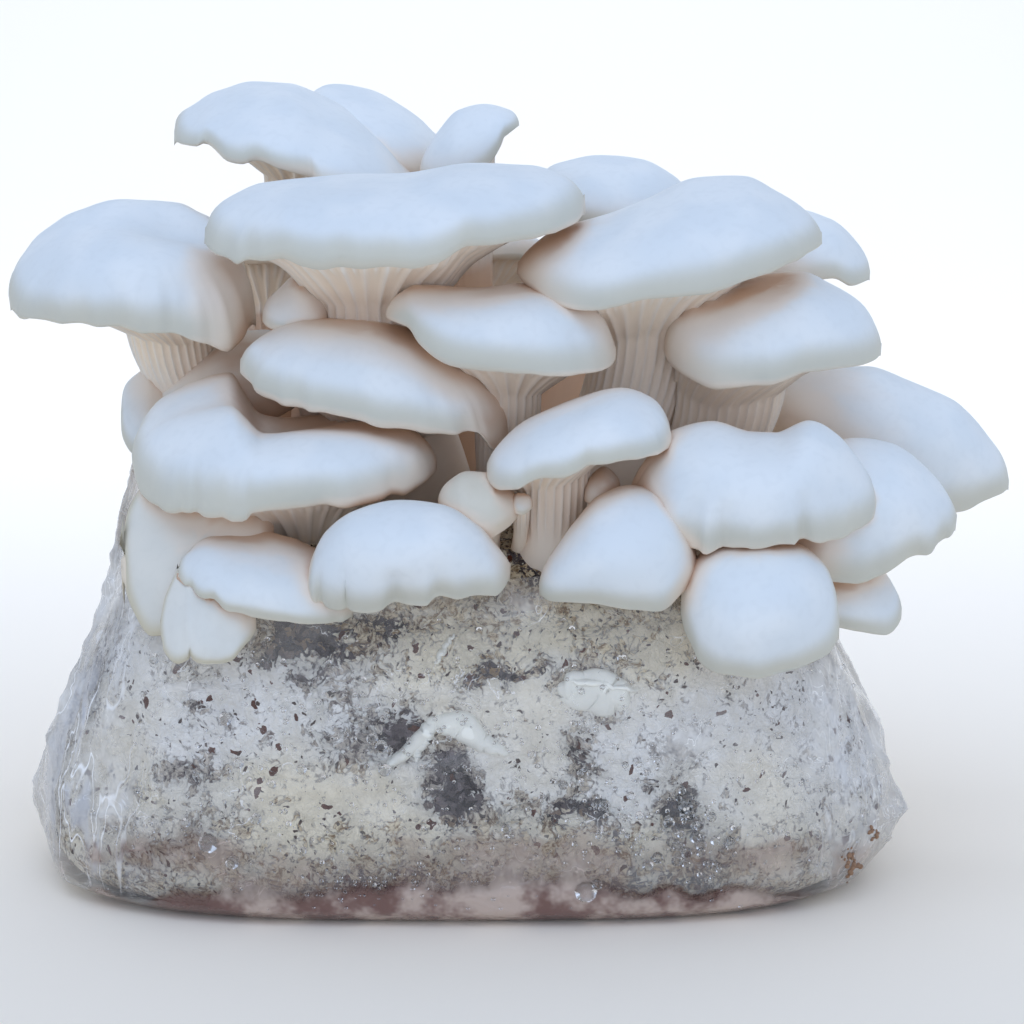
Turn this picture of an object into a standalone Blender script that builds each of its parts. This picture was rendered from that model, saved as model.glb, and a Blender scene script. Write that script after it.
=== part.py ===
"""Oyster mushroom grow bag: a clear film bag round a block of sawdust grown through with
white mycelium, lying on its wide side, with a crowded cluster of oyster mushrooms on top.

Metres, +Z up, +X to the right and -Y to the front. The origin is the middle of the flat
patch on which the bag rests. Outlines are written in millimetres and turned to metres.
"""
import math

import bmesh
import bpy
from mathutils import Vector

MM = 0.001

# --- Sizes ---
GAP = 0.3                # clearance between two nodes
FILM = 0.7               # wall of the bag
CUT_GAP = 0.35           # how far a cutter stands outside the solid it copies
MERGE_STEPS = (0.00002, 0.000005, 0)  # metres; the first that leaves a closed solid is kept
FLAT = math.radians(2.2) # faces that meet at less than this count as one

# The eye in front of the cluster. Cap outlines are drawn on the upright plane y = 0, as
# they look from here, and each point then slides along its line of sight to its depth.
EYE = Vector((12.5, -733.6, 258.3))
EYE_TILT = math.radians(12.0)

# Bag cross-sections from the ground up: height, left, right, front and back of each level.
BAG_LEVELS = [
    (0.0, -120, 116, -66, 60),
    (5.0, -130, 125, -72, 66),
    (22.0, -132, 131, -75, 71),
    (45.0, -123, 122, -75, 72),
    (68.0, -114, 113, -75, 72),
    (84.0, -109, 105, -73, 70),
    (124.0, -103, 98, -66, 64),
]
BAG_SIDES = 28           # points round the bag
BAG_CORNER = 3.2         # how square a level is: 2 is an ellipse, larger is squarer
MOUTH_FRONT = 91.0       # height of the film's cut edge above the ground, front
MOUTH_LEFT = 121.0       # the corner of film that still stands up on the left
MOUTH_RIGHT = 90.0
MOUTH_BACK = 100.0

BLOCK_TOP = 112.0        # middle of the block's domed top
BLOCK_TOP_RINGS = 3

STEM_END = 92.0          # stems run down to this height, inside the block

CAP_SIDES = 14           # points round a large cap
SMALL_CAP_SIDES = 10
SMALL_CAP_WIDTH = 54.0
CROWN_RINGS = (0.5, 0.86)
GILL_RINGS = (0.2,)
STEM_RINGS = (0.4,)

# Defaults of a mushroom, each of which an entry can replace.
PLAIN = {
    "depth": 55,         # cap length from front rim to back rim
    "pitch": 10,         # how far the cap tips towards the front, degrees
    "stout": 0.75,       # highest dome of the cap, in half widths
    "bowl": 0,           # how deep the cap sinks behind its front lobe
    "bowl_at": (0.0, 0.25),  # the deepest place, in half widths and half depths
    "lift": 0,           # how far the back rim stands up
    "lean": 0.0,         # above 0 the back rim stands higher on the left than on the right
    "neck": (0.0, 0.3),  # where the stem meets the cap, in half widths from its middle
    "gill_drop": 0.2,    # how far the gills run down the stem, in cap widths
    "stem": 8,           # stem radius in its middle
    "base": 1.6,         # how much thicker the stem's foot is, where stems grow together
    "turned": False,     # True for a cap that faces the back of the cluster
}

# Each mushroom: the upper outline and the lower rim of its cap from left tip to right tip,
# the depth of its front rim, and the place where its stem comes out of the cluster's foot.
MUSHROOMS = {
    "mushroom_top_left": {
        "upper": [(-85.5, 213), (-84.5, 218.5), (-80, 222.5), (-72.7, 227.7), (-62.7, 230.4),
                  (-52, 230), (-44, 227), (-35.5, 222.5), (-28, 216), (-20, 207), (-15, 199)],
        "lower": [(-85.5, 212), (-79.2, 210.2), (-70.4, 206), (-60, 205), (-51, 202),
                  (-40, 196), (-28, 194), (-15, 197)],
        "front": -12, "depth": 62, "pitch": 12, "foot": (-42, 6)},
    "mushroom_top_middle": {
        "upper": [(-52, 216), (-48, 225), (-40, 229), (-30, 227.7), (-20, 223.8),
                  (-10.8, 217.3), (-7, 208), (-7, 203)],
        "lower": [(-52, 214), (-40, 204), (-25, 200), (-12, 200), (-7, 202)],
        "front": 18, "depth": 50, "pitch": 10, "foot": (-26, 22)},
    "mushroom_top_small": {
        "upper": [(-14.5, 203), (-12.8, 209.3), (-8.6, 215.6), (-2.7, 221.4), (5.3, 223.6),
                  (12, 222), (14.8, 217.5)],
        "lower": [(-14.5, 201), (-5, 199), (3, 203), (8.1, 209), (10.3, 213.4), (14.8, 217)],
        "front": 0, "depth": 26, "pitch": 20, "stem": 6, "foot": (2, 14)},
    "mushroom_upper_middle": {
        "upper": [(-78, 184.5), (-75.8, 192), (-70, 197), (-60, 201.5), (-40, 202.7),
                  (-20, 203.4), (0, 206.5), (17, 206.4), (26, 204), (32.5, 198.5), (33.7, 194)],
        "lower": [(-78, 183.5), (-74.3, 178.3), (-68, 175.7), (-54.7, 178), (-43.5, 175.4),
                  (-24, 175.6), (-10, 176), (0, 181.3), (12.5, 182.6), (24, 185), (31.5, 187.8),
                  (33.7, 192)],
        "front": -75, "depth": 64, "pitch": 4, "neck": (-0.08, 0.3), "gill_drop": 0.16,
        "stem": 16, "base": 1.25, "foot": (-14, -8)},
    "mushroom_left": {
        "upper": [(-135, 165), (-133, 175), (-125.5, 185.5), (-115, 192.5), (-100, 195.8),
                  (-85, 195), (-74, 190), (-67, 180), (-64, 166.5), (-63.7, 160)],
        "lower": [(-135, 164), (-130, 159.3), (-115, 157.3), (-100, 156.2), (-86, 154),
                  (-72, 150.7), (-65.4, 156.3), (-63.7, 159.5)],
        "front": -50, "depth": 62, "pitch": 16, "bowl": 10, "bowl_at": (0.45, 0.2),
        "lift": 7, "lean": 0.6, "neck": (0.3, 0.3), "stem": 11, "foot": (-62, -18)},
    "mushroom_middle_left": {
        "upper": [(-67.5, 146.5), (-65.4, 152.4), (-59.4, 157.2), (-48.2, 161), (-31.2, 161),
                  (-18.2, 158.3), (-8, 154), (0, 149), (7.9, 141.8), (12.4, 130), (12, 122)],
        "lower": [(-67.5, 145.5), (-60.3, 137.2), (-47.2, 132.6), (-31.7, 130), (-20.3, 127),
                  (-7.2, 124.5), (1.5, 124.8), (7, 119.2), (10, 118.8), (12, 121.5)],
        "front": -68, "depth": 50, "pitch": 14, "foot": (-24, -26)},
    "mushroom_middle": {
        "upper": [(-24.2, 161.5), (-20.6, 168), (-14.4, 170.8), (0, 170.8), (14, 172),
                  (28, 171), (38, 165), (43, 155), (43.9, 150)],
        "lower": [(-24.2, 160.5), (-17.8, 158.4), (-14, 153.2), (-5, 147), (6, 145),
                  (26.7, 142.7), (38.4, 143.4), (43.9, 149)],
        "front": -72, "depth": 44, "pitch": 10, "neck": (0.05, 0.25), "stem": 8,
        "foot": (8, -26)},
    "mushroom_upper_right": {
        "upper": [(14.8, 175.5), (17.6, 181), (27.4, 187.4), (41, 190.4), (52, 195.4),
                  (66.7, 201.5), (80, 202.5), (89.4, 198.7), (99.6, 191.8), (103.4, 184)],
        "lower": [(14.8, 174.5), (18.6, 169), (26, 163.2), (36, 161.6), (52.4, 164.8),
                  (69, 166.7), (83.4, 171.4), (93, 176), (103.4, 183)],
        "front": -70, "depth": 60, "pitch": 10, "neck": (-0.15, 0.3), "stem": 14,
        "base": 1.8, "foot": (32, -18)},
    "mushroom_top_right": {
        "upper": [(20, 199), (26.6, 206.3), (38, 209), (50, 207.7), (59, 202.7), (65, 193)],
        "lower": [(20, 198), (30, 189), (45, 186), (58, 188), (65, 192)],
        "front": 10, "depth": 42, "pitch": 14, "stem": 11, "foot": (20, 8)},
    "mushroom_far_right_upper": {
        "upper": [(77, 176), (83, 187), (90, 191.5), (97, 192.6), (105, 190), (114, 182.2),
                  (117.9, 173)],
        "lower": [(77, 175), (86, 170), (93, 169.5), (107, 172), (112, 170), (117.9, 172)],
        "front": -6, "depth": 36, "pitch": 12, "neck": (-0.3, 0.3), "stem": 7,
        "foot": (62, 12)},
    "mushroom_right": {
        "upper": [(57.7, 152.7), (60, 162), (68, 168.5), (83.3, 173), (97, 174),
                  (106, 170.6), (115, 165), (120, 157), (121.5, 151)],
        "lower": [(57.7, 152), (65.3, 143), (74, 139.6), (89.6, 140.4), (100, 143.5),
                  (115, 145.5), (121.5, 150)],
        "front": -60, "depth": 48, "pitch": 14, "neck": (-0.4, 0.3), "stem": 14,
        "base": 1.4, "foot": (56, -26)},
    "mushroom_far_right": {
        "upper": [(86, 134), (97, 143.6), (117.6, 146), (130, 142.2), (143.4, 137),
                  (154, 124.3), (160, 115.4), (161, 110)],
        "lower": [(86, 133), (95, 120), (108, 108), (125, 100), (147, 101.5), (154.5, 105),
                  (161, 109.5)],
        "front": -12, "depth": 44, "pitch": 36, "neck": (-0.3, 0.3), "gill_drop": 0.12,
        "foot": (74, 6)},
    "mushroom_front_right_large": {
        "upper": [(47.6, 100), (49, 112), (54, 122), (62, 127.2), (72, 129.2), (83.5, 125.6),
                  (91, 125.2), (101, 129.6), (109.4, 125.3), (117.3, 114.7), (121.4, 103)],
        "lower": [(47.6, 98.5), (50.6, 93.1), (61.3, 89.5), (70.7, 87.9), (82.7, 89.6),
                  (93, 90.5), (105.4, 91.5), (113.8, 94.7), (121.4, 102)],
        "front": -87, "depth": 50, "pitch": 28, "neck": (-0.1, 0.3), "gill_drop": 0.12,
        "stem": 9, "foot": (60, -34)},
    "mushroom_front_right_behind": {
        "upper": [(86.1, 97), (93, 113), (104, 122), (114, 125.1), (124.8, 123), (135.3, 115),
                  (142.9, 106.1), (145.4, 99.5)],
        "lower": [(86.1, 92), (88.4, 85.3), (97.1, 82.2), (109.6, 79.1), (121.3, 80.4),
                  (130.2, 86.4), (138.9, 88.7), (145.4, 98)],
        "front": -66, "depth": 44, "pitch": 34, "neck": (-0.3, 0.3), "gill_drop": 0.1,
        "foot": (76, -20)},
    "mushroom_front_middle": {
        "upper": [(5.9, 115), (10.1, 123.6), (19.2, 130.7), (32.8, 136.4), (44.7, 139.2),
                  (53.2, 136.1), (58.6, 129.2), (59.5, 123.6)],
        "lower": [(5.9, 113.5), (9.6, 108.4), (14.1, 108.5), (19.8, 111.9), (29.4, 113),
                  (38, 116.7), (51.6, 118.3), (59.5, 122)],
        "front": -88, "depth": 38, "pitch": 16, "neck": (-0.28, 0.3), "gill_drop": 0.18,
        "stem": 9, "foot": (23, -48)},
    "mushroom_front_left_large": {
        "upper": [(-100, 115), (-98, 126.5), (-90, 137.3), (-80, 142.5), (-71, 144.5),
                  (-66.5, 139.5), (-62, 133.4), (-55.6, 132.4), (-47.5, 132.2), (-35, 131.5),
                  (-22, 129.5), (-14, 125), (-10.5, 117)],
        "lower": [(-100, 114), (-96.2, 104.4), (-88, 101.8), (-74, 100.9), (-58, 102.9),
                  (-39, 103.8), (-25, 106.8), (-14.2, 110.8), (-10.5, 115.5)],
        "front": -80, "depth": 64, "pitch": 8, "bowl": 9, "bowl_at": (0.1, 0.25),
        "lift": 10, "lean": 1.0, "neck": (0.1, 0.2), "stem": 11, "foot": (-46, -34)},
    "mushroom_left_behind": {
        "upper": [(-94, 136), (-89, 144), (-80, 150.5), (-70, 156), (-60, 157), (-52, 152),
                  (-47, 144)],
        "lower": [(-94, 134), (-82, 128), (-66, 128), (-47, 142)],
        "front": -22, "depth": 36, "pitch": 14, "stem": 8, "foot": (-58, 2)},
    "mushroom_far_left": {
        "upper": [(-103.7, 131), (-102.7, 139.2), (-99, 144), (-95.2, 146.2), (-90, 143),
                  (-86, 134)],
        "lower": [(-103.7, 129), (-100.5, 119.3), (-94, 118), (-86, 130)],
        "front": -20, "depth": 24, "pitch": 26, "stem": 5, "foot": (-76, 0)},
    "mushroom_front_left": {
        "upper": [(-49.6, 79.3), (-47.8, 89.4), (-43.6, 97), (-34.9, 103.5), (-21.5, 106.6),
                  (-8.2, 105.1), (1.6, 99.1), (7.8, 92.3), (11.2, 84)],
        "lower": [(-49.6, 78.4), (-47, 72.9), (-38, 71.8), (-27.5, 70.8), (-13.5, 72),
                  (-9, 75), (4, 75.4), (11.2, 82.5)],
        "front": -93, "depth": 38, "pitch": 42, "neck": (0.0, 0.5), "gill_drop": 0.06,
        "foot": (-18, -44)},
    "mushroom_front_far_left": {
        "upper": [(-88.6, 83.6), (-85.9, 90.3), (-77.8, 95.6), (-61.7, 96.9), (-48, 92.5),
                  (-40, 85), (-36.5, 72)],
        "lower": [(-88.6, 81.3), (-83.6, 76.2), (-77, 73.6), (-68.3, 69), (-54.1, 66.8),
                  (-42, 67.2), (-36.5, 71)],
        "front": -88, "depth": 38, "pitch": 40, "neck": (0.2, 0.5), "gill_drop": 0.06,
        "foot": (-48, -42)},
    "mushroom_left_leaf": {
        "upper": [(-104.9, 92), (-102.8, 103.8), (-98, 110.5), (-88, 112.5), (-75, 112),
                  (-66, 108), (-59, 96)],
        "lower": [(-104.9, 84), (-102, 70), (-96.5, 62.5), (-88, 64), (-76, 74), (-66, 84),
                  (-59, 94)],
        "front": -71, "depth": 44, "pitch": 56, "stout": 0.3, "neck": (0.3, 0.6),
        "gill_drop": 0.05,
        "foot": (-62, -30)},
    "mushroom_left_low": {
        "upper": [(-93.8, 66), (-91.5, 78), (-86, 88), (-80, 91), (-72, 88), (-65, 67.5)],
        "lower": [(-93.8, 64.5), (-90.6, 55.4), (-87.5, 54.9), (-85.3, 57.2), (-82.1, 54),
                  (-75.1, 54.1), (-69.2, 58.9), (-65, 66.5)],
        "front": -88, "depth": 40, "pitch": 62, "neck": (0.1, 0.7), "gill_drop": 0.04,
        "stem": 5, "foot": (-74, -42)},
    "mushroom_front_centre_right": {
        "upper": [(21.4, 79.5), (25.5, 90.3), (31.8, 99.1), (38.6, 107.3), (47.7, 110.8),
                  (58, 108), (65, 98), (67.7, 86)],
        "lower": [(21.4, 78), (23.8, 74.8), (36.3, 73.3), (47.8, 71.4), (56.9, 70.7),
                  (63.1, 75.4), (67.7, 85)],
        "front": -90, "depth": 40, "pitch": 48, "neck": (-0.05, 0.5), "gill_drop": 0.06,
        "foot": (40, -44)},
    "mushroom_front_low_right": {
        "upper": [(64.2, 74), (67, 86), (75, 93), (87, 95), (98, 93), (107, 85), (111.4, 66)],
        "lower": [(64.2, 73), (66.4, 61.8), (72.2, 52.6), (83.3, 49.9), (95.9, 51.6),
                  (107, 56), (111.4, 65)],
        "front": -92, "depth": 42, "pitch": 52, "neck": (-0.1, 0.6), "gill_drop": 0.04,
        "foot": (70, -38)},
    "mushroom_far_low_right": {
        "upper": [(98, 72), (103, 82), (112, 87), (122, 85.5), (128.7, 77.4), (130, 71)],
        "lower": [(98, 70), (106, 66.8), (117.4, 64.8), (125.1, 63.7), (130, 70)],
        "front": -56, "depth": 26, "pitch": 34, "neck": (-0.2, 0.4), "gill_drop": 0.08,
        "stem": 5, "foot": (86, -24)},
    "mushroom_knob": {
        "upper": [(-10, 105), (-6.3, 112), (-0.6, 114.9), (5.3, 114.5), (10, 111),
                  (14.9, 104.4)],
        "lower": [(-10, 103), (-4, 97), (3, 92), (9.6, 95.6), (14.9, 103)],
        "front": -78, "depth": 22, "pitch": 34, "gill_drop": 0.1, "stem": 6,
        "foot": (2, -46)},
    "mushroom_shaded_left": {
        "upper": [(-61, 162), (-56.5, 169.5), (-50, 174), (-45, 170.5), (-41.5, 160)],
        "lower": [(-61, 160), (-55, 156), (-46, 156), (-41.5, 159)],
        "front": -44, "depth": 20, "pitch": 20, "stem": 5, "foot": (-34, -12)},
    "mushroom_shaded_middle": {
        "upper": [(34.3, 108), (36.5, 114), (40, 116.3), (43.5, 113.5), (45, 109)],
        "lower": [(34.3, 106), (39.5, 103), (45, 108)],
        "front": -68, "depth": 12, "pitch": 24, "stem": 4, "foot": (38, -38)},
    "mushroom_pin": {
        "upper": [(12, 104), (14.5, 108.4), (17.5, 107.6), (18.7, 105)],
        "lower": [(12, 103), (15.3, 100.9), (18.7, 104)],
        "front": -74, "depth": 6, "pitch": 24, "stem": 2, "foot": (14, -46)},
    "mushroom_back_left": {
        "upper": [(-86, 126), (-82, 136), (-66, 145), (-46, 147), (-26, 141), (-14, 126)],
        "lower": [(-86, 124), (-72, 117), (-50, 115), (-28, 118), (-14, 124)],
        "front": -92, "depth": 56, "pitch": 18, "foot": (-50, -30), "turned": True},
    "mushroom_back_middle": {
        "upper": [(-34, 162), (-28, 171), (-10, 178), (12, 178), (30, 170), (38, 160)],
        "lower": [(-34, 160), (-20, 153), (4, 150), (26, 153), (38, 158)],
        "front": -84, "depth": 54, "pitch": 12, "foot": (0, -26), "turned": True},
    "mushroom_back_right": {
        "upper": [(20, 118), (26, 131), (42, 139), (62, 140), (80, 132), (88, 119)],
        "lower": [(20, 116), (36, 108), (56, 107), (76, 110), (88, 117)],
        "front": -90, "depth": 52, "pitch": 20, "foot": (52, -28), "turned": True},
    "mushroom_back_low": {
        "upper": [(-30, 98), (-26, 110), (-12, 117), (6, 116), (18, 107), (22, 96)],
        "lower": [(-30, 96), (-18, 88), (-2, 86), (14, 89), (22, 94)],
        "front": -94, "depth": 38, "pitch": 26, "foot": (-4, -42), "turned": True},
    "mushroom_back_upper_right": {
        "upper": [(36, 166), (41, 175), (56, 182), (74, 181), (88, 171), (92, 162)],
        "lower": [(36, 164), (50, 157), (68, 155), (84, 158), (92, 161)],
        "front": -66, "depth": 46, "pitch": 12, "foot": (42, -18), "turned": True},
}

# Cutting order: a mushroom is trimmed by those that stand before it in this list.
FRONT_TO_BACK = [
    "mushroom_front_left", "mushroom_front_low_right", "mushroom_front_centre_right",
    "mushroom_front_right_large", "mushroom_front_middle", "mushroom_front_far_left",
    "mushroom_left_low", "mushroom_front_left_large", "mushroom_left_leaf",
    "mushroom_knob", "mushroom_pin", "mushroom_upper_middle", "mushroom_upper_right",
    "mushroom_middle", "mushroom_middle_left", "mushroom_right",
    "mushroom_front_right_behind", "mushroom_left",
    "mushroom_shaded_middle", "mushroom_far_low_right", "mushroom_far_right",
    "mushroom_top_left", "mushroom_top_right", "mushroom_top_small",
    "mushroom_far_right_upper", "mushroom_far_left", "mushroom_left_behind",
    "mushroom_shaded_left", "mushroom_top_middle", "mushroom_back_low",
    "mushroom_back_left", "mushroom_back_right", "mushroom_back_middle",
    "mushroom_back_upper_right",
]


def blend(a, b, share):
    """The value a given share of the way from a to b."""
    return a + (b - a) * share


def smooth(value, low, high):
    """0 below low, 1 above high and a soft step between them."""
    share = min(1.0, max(0.0, (value - low) / (high - low)))
    return share * share * (3 - 2 * share)


def along(points, side):
    """Height of an outline at side, from -1 at its left tip to 1 at its right tip.

    The outline is read over the angle whose sine is the side, which keeps its steep ends
    as exact as its flat middle."""
    left, right = points[0][0], points[-1][0]
    middle, half = (left + right) / 2, (right - left) / 2
    angle = math.asin(max(-1.0, min(1.0, side)))
    turns = [math.asin(max(-1.0, min(1.0, (x - middle) / half))) for x, _ in points]
    for index in range(len(points) - 1):
        if angle <= turns[index + 1] or index == len(points) - 2:
            width = max(turns[index + 1] - turns[index], 1e-6)
            return blend(points[index][1], points[index + 1][1],
                         min(1.0, max(0.0, (angle - turns[index]) / width)))


class Mushroom:
    """One oyster mushroom: a fan-shaped cap that bends down to a rounded rim, gills that run
    from the rim down to the stem, and the stem."""

    def __init__(self, entry):
        self.__dict__.update(PLAIN)
        self.__dict__.update(entry)
        self.left, self.right = self.upper[0][0], self.upper[-1][0]
        self.half_width = (self.right - self.left) / 2
        self.tilt = math.radians(self.pitch)
        self.seen_tilt = self.tilt + EYE_TILT
        seen = max(along(self.upper, s / 8) - along(self.lower, s / 8) for s in range(-7, 8))
        slope = self.depth / 2 * math.sin(self.seen_tilt)
        rise = math.sqrt(max(seen * seen - 2 * seen * slope, 0.0)) / math.cos(self.seen_tilt)
        self.height = min(max(rise, 0.3 * self.half_width), self.stout * self.half_width)

    def crown(self, u, v):
        """Height of the cap's top above its rim, u to the right and v to the back (-1..1)."""
        rho = min(1.0, math.hypot(u, v))
        dome = self.height * (1 - rho ** 2.6) ** 0.55
        at_u, at_v = self.bowl_at
        sunk = math.exp(-((u - at_u) ** 2 + (v - at_v) ** 2) / 0.22) * (1 - rho ** 4)
        return dome - self.bowl * sunk + self.raised(u, v)

    def raised(self, u, v):
        """How far the back of the cap, rim included, stands up."""
        return self.lift * smooth(v, 0.0, 0.9) * max(0.0, 1 - self.lean * u)

    def seen_height(self, u, v, above):
        """How high a point of the plain cap shows from the eye."""
        back = v * self.depth / 2
        return above * math.cos(self.seen_tilt) + back * math.sin(self.seen_tilt)

    def column(self, u):
        """Lowest and highest seen height of the plain cap over one upright line."""
        reach = math.sqrt(max(1 - u * u, 0.0))
        rows = [reach * (step / 10 - 1) for step in range(21)]
        heights = [self.seen_height(u, v, self.crown(u, v)) for v in rows]
        return min(heights), max(heights)

    def place(self, u, v, above, under=0.0):
        """World point in metres of a point of the plain cap, fitted to the outlines.

        under is 0 on the top and at the rim and grows to 1 where the gills reach the stem:
        the fit keeps the true height of the gills there."""
        side = max(-1.0, min(1.0, u))
        low, high = self.column(side)
        scale = (along(self.upper, side) - along(self.lower, side)) / max(high - low, 0.5)
        drawn_x = (self.left + self.right) / 2 + self.half_width * u
        drawn_z = along(self.lower, side) + (self.seen_height(u, v, 0) - low) * scale
        drawn_z += above * math.cos(self.seen_tilt) * blend(scale, 1.0, under)
        back = (v + 1) * self.depth / 2 * math.cos(self.tilt) - above * math.sin(self.tilt)
        return self.slide(drawn_x, drawn_z, self.front + back)

    def slide(self, x, z, y):
        """Slide a point of the drawing plane along its line of sight to the depth y."""
        share = (y - EYE.y) / (0 - EYE.y)
        point = Vector((blend(EYE.x, x, share), y, blend(EYE.z, z, share)))
        if self.turned:
            point = Vector((-point.x, -point.y, point.z))
        return point * MM

    def rings(self, sides, crown_rings, gill_rings, stem_rings):
        """Rings of points from the middle of the crown, over the rim, to the stem's foot."""
        turns = [2 * math.pi * step / sides for step in range(sides)]
        loops = [[self.place(0, 0, self.crown(0, 0))]]
        for rho in list(crown_rings) + [1.0]:
            loops.append([self.place(rho * math.sin(t), -rho * math.cos(t),
                                     self.crown(rho * math.sin(t), -rho * math.cos(t)))
                          for t in turns])
        neck_u, neck_v = self.neck
        neck_r = max(0.2, 1.15 * self.stem / self.half_width)
        drop = self.gill_drop * 2 * self.half_width
        for share in list(gill_rings) + [1.0]:
            loop = []
            for t in turns:
                u = blend(math.sin(t), neck_u + neck_r * math.sin(t), share)
                v = blend(-math.cos(t), neck_v - neck_r * math.cos(t), share)
                under = self.raised(u, v) - drop * share ** 1.5
                loop.append(self.place(u, v, under - 0.02 * self.half_width, share))
            loops.append(loop)
        loops.extend(self.stem_loops(loops[-1], turns, stem_rings))
        return loops

    def stem_loops(self, neck, turns, stem_rings):
        """The stem, which starts as the gills' last ring and turns round on its way down."""
        top = sum(neck, Vector()) / len(neck)
        turn = -1 if self.turned else 1
        foot = Vector((turn * self.foot[0], turn * self.foot[1], STEM_END)) * MM
        reach = (foot - top).length / 3
        bend = self.tilt + 0.3
        start = Vector((0, turn * math.sin(bend), -math.cos(bend))) * reach
        end = ((foot - top).normalized() + Vector((0, 0, -0.8))).normalized() * reach
        neck_size = sum((p - top).length for p in neck) / len(neck)
        loops = []
        for share in list(stem_rings) + [1.0]:
            rest = 1 - share
            middle = (top * rest ** 3 + (top + start) * 3 * rest ** 2 * share
                      + (foot - end) * 3 * rest * share ** 2 + foot * share ** 3)
            ahead = (start * rest ** 2 + (foot - end - top - start) * 2 * rest * share
                     + end * share ** 2).normalized()
            across = Vector((turn, 0, 0))
            across = (across - ahead * across.dot(ahead)).normalized()
            front = ahead.cross(across)
            size = blend(neck_size, self.stem * MM, smooth(share, 0.0, 0.45))
            size *= blend(1.0, self.base, smooth(share, 0.4, 1.0))
            loop = []
            for point, t in zip(neck, turns):
                bent = (point - top) * (size / neck_size)
                round_one = (across * math.sin(t) + front * math.cos(t)) * size
                loop.append(middle + bent.lerp(round_one, smooth(share, 0.0, 0.6)))
            loops.append(loop)
        loops.append([foot + end.normalized() * MM])
        return loops


def clear_scene():
    for item in list(bpy.data.objects):
        bpy.data.objects.remove(item, do_unlink=True)


def material(name, colour, roughness):
    made = bpy.data.materials.new(name)
    made.use_nodes = True
    shader = made.node_tree.nodes["Principled BSDF"]
    shader.inputs["Base Color"].default_value = (*colour, 1.0)
    shader.inputs["Roughness"].default_value = roughness
    made.diffuse_color = (*colour, 1.0)
    return made


def skin(name, loops, look):
    """Closed solid over a row of point rings; a ring of one point is a pole."""
    mesh = bmesh.new()
    rows = [[mesh.verts.new(point) for point in loop] for loop in loops]
    for upper, lower in zip(rows, rows[1:]):
        count = max(len(upper), len(lower))
        for step in range(count):
            after = (step + 1) % count
            if len(upper) == 1:
                mesh.faces.new((upper[0], lower[step], lower[after]))
            elif len(lower) == 1:
                mesh.faces.new((upper[step], lower[0], upper[after]))
            else:
                mesh.faces.new((upper[step], lower[step], lower[after], upper[after]))
    bmesh.ops.recalc_face_normals(mesh, faces=mesh.faces)
    bmesh.ops.triangulate(mesh, faces=mesh.faces)
    data = bpy.data.meshes.new(name)
    mesh.to_mesh(data)
    mesh.free()
    data.materials.append(look)
    item = bpy.data.objects.new(name, data)
    bpy.context.collection.objects.link(item)
    for face in data.polygons:
        face.use_smooth = True
    return item


def bag_point(turn, height, inset):
    """Point of the bag's outside, set in by a wall, at an angle and a height."""
    levels = BAG_LEVELS
    for index in range(len(levels) - 1):
        if height <= levels[index + 1][0] or index == len(levels) - 2:
            low, high = levels[index], levels[index + 1]
            share = (height - low[0]) / (high[0] - low[0])
            left, right, front, back = [blend(a, b, share) for a, b in zip(low[1:], high[1:])]
            break
    c, s = math.cos(turn), math.sin(turn)
    half_x = (right - left) / 2 - inset
    half_y = (back - front) / 2 - inset
    x = (left + right) / 2 + half_x * math.copysign(abs(c) ** (2 / BAG_CORNER), c)
    y = (front + back) / 2 + half_y * math.copysign(abs(s) ** (2 / BAG_CORNER), s)
    return Vector((x, y, height))


def mouth_height(turn):
    """Height of the film's cut edge round the mouth; 0 is the right, a quarter turn the back."""
    c, s = math.cos(turn), math.sin(turn)
    side = MOUTH_LEFT if c < 0 else MOUTH_RIGHT
    end = MOUTH_BACK if s > 0 else MOUTH_FRONT
    return blend(end, side, smooth(abs(c), 0.6, 0.95))


def bag_loops(sides):
    turns = [2 * math.pi * step / sides for step in range(sides)]
    heights = [level[0] for level in BAG_LEVELS[:-1]]
    outside = [[bag_point(t, h, 0) * MM for t in turns] for h in heights]
    rim = [[bag_point(t, mouth_height(t), inset) * MM for t in turns] for inset in (0, FILM)]
    inside = [[bag_point(t, max(h, FILM), FILM) * MM for t in turns]
              for h in reversed(heights)]
    bottom = [Vector((0, 0, 0))]
    floor = [Vector((0, 0, FILM)) * MM]
    return [bottom] + outside + rim + inside + [floor]


def block_loops(sides):
    """The block fills the bag and ends in a low dome a little above the film's front edge."""
    turns = [2 * math.pi * step / sides for step in range(sides)]
    inset = FILM + GAP
    heights = [max(level[0], inset) for level in BAG_LEVELS[:-1]]
    loops = [[Vector((0, 0, inset)) * MM]]
    loops += [[bag_point(t, h, inset) * MM for t in turns] for h in heights]
    shoulder = heights[-1]
    for ring in range(1, BLOCK_TOP_RINGS):
        share = 1 - ring / BLOCK_TOP_RINGS
        rise = (BLOCK_TOP - shoulder) * math.sqrt(1 - share ** 2.4)
        loop = []
        for t in turns:
            edge = bag_point(t, shoulder, inset + 1.5)
            loop.append(Vector((edge.x * share, edge.y * share, shoulder + rise)) * MM)
        loops.append(loop)
    return loops + [[Vector((0, 0, BLOCK_TOP)) * MM]]


def swollen_copy(item):
    """A cutter: a copy of a solid grown by the gap between two nodes."""
    mesh = bmesh.new()
    mesh.from_mesh(item.data)
    mesh.normal_update()
    for vertex in mesh.verts:
        vertex.co += vertex.normal * vertex.calc_shell_factor() * CUT_GAP * MM
    data = bpy.data.meshes.new("cutter")
    mesh.to_mesh(data)
    mesh.free()
    cutter = bpy.data.objects.new("cutter", data)
    bpy.context.collection.objects.link(cutter)
    return cutter


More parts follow.
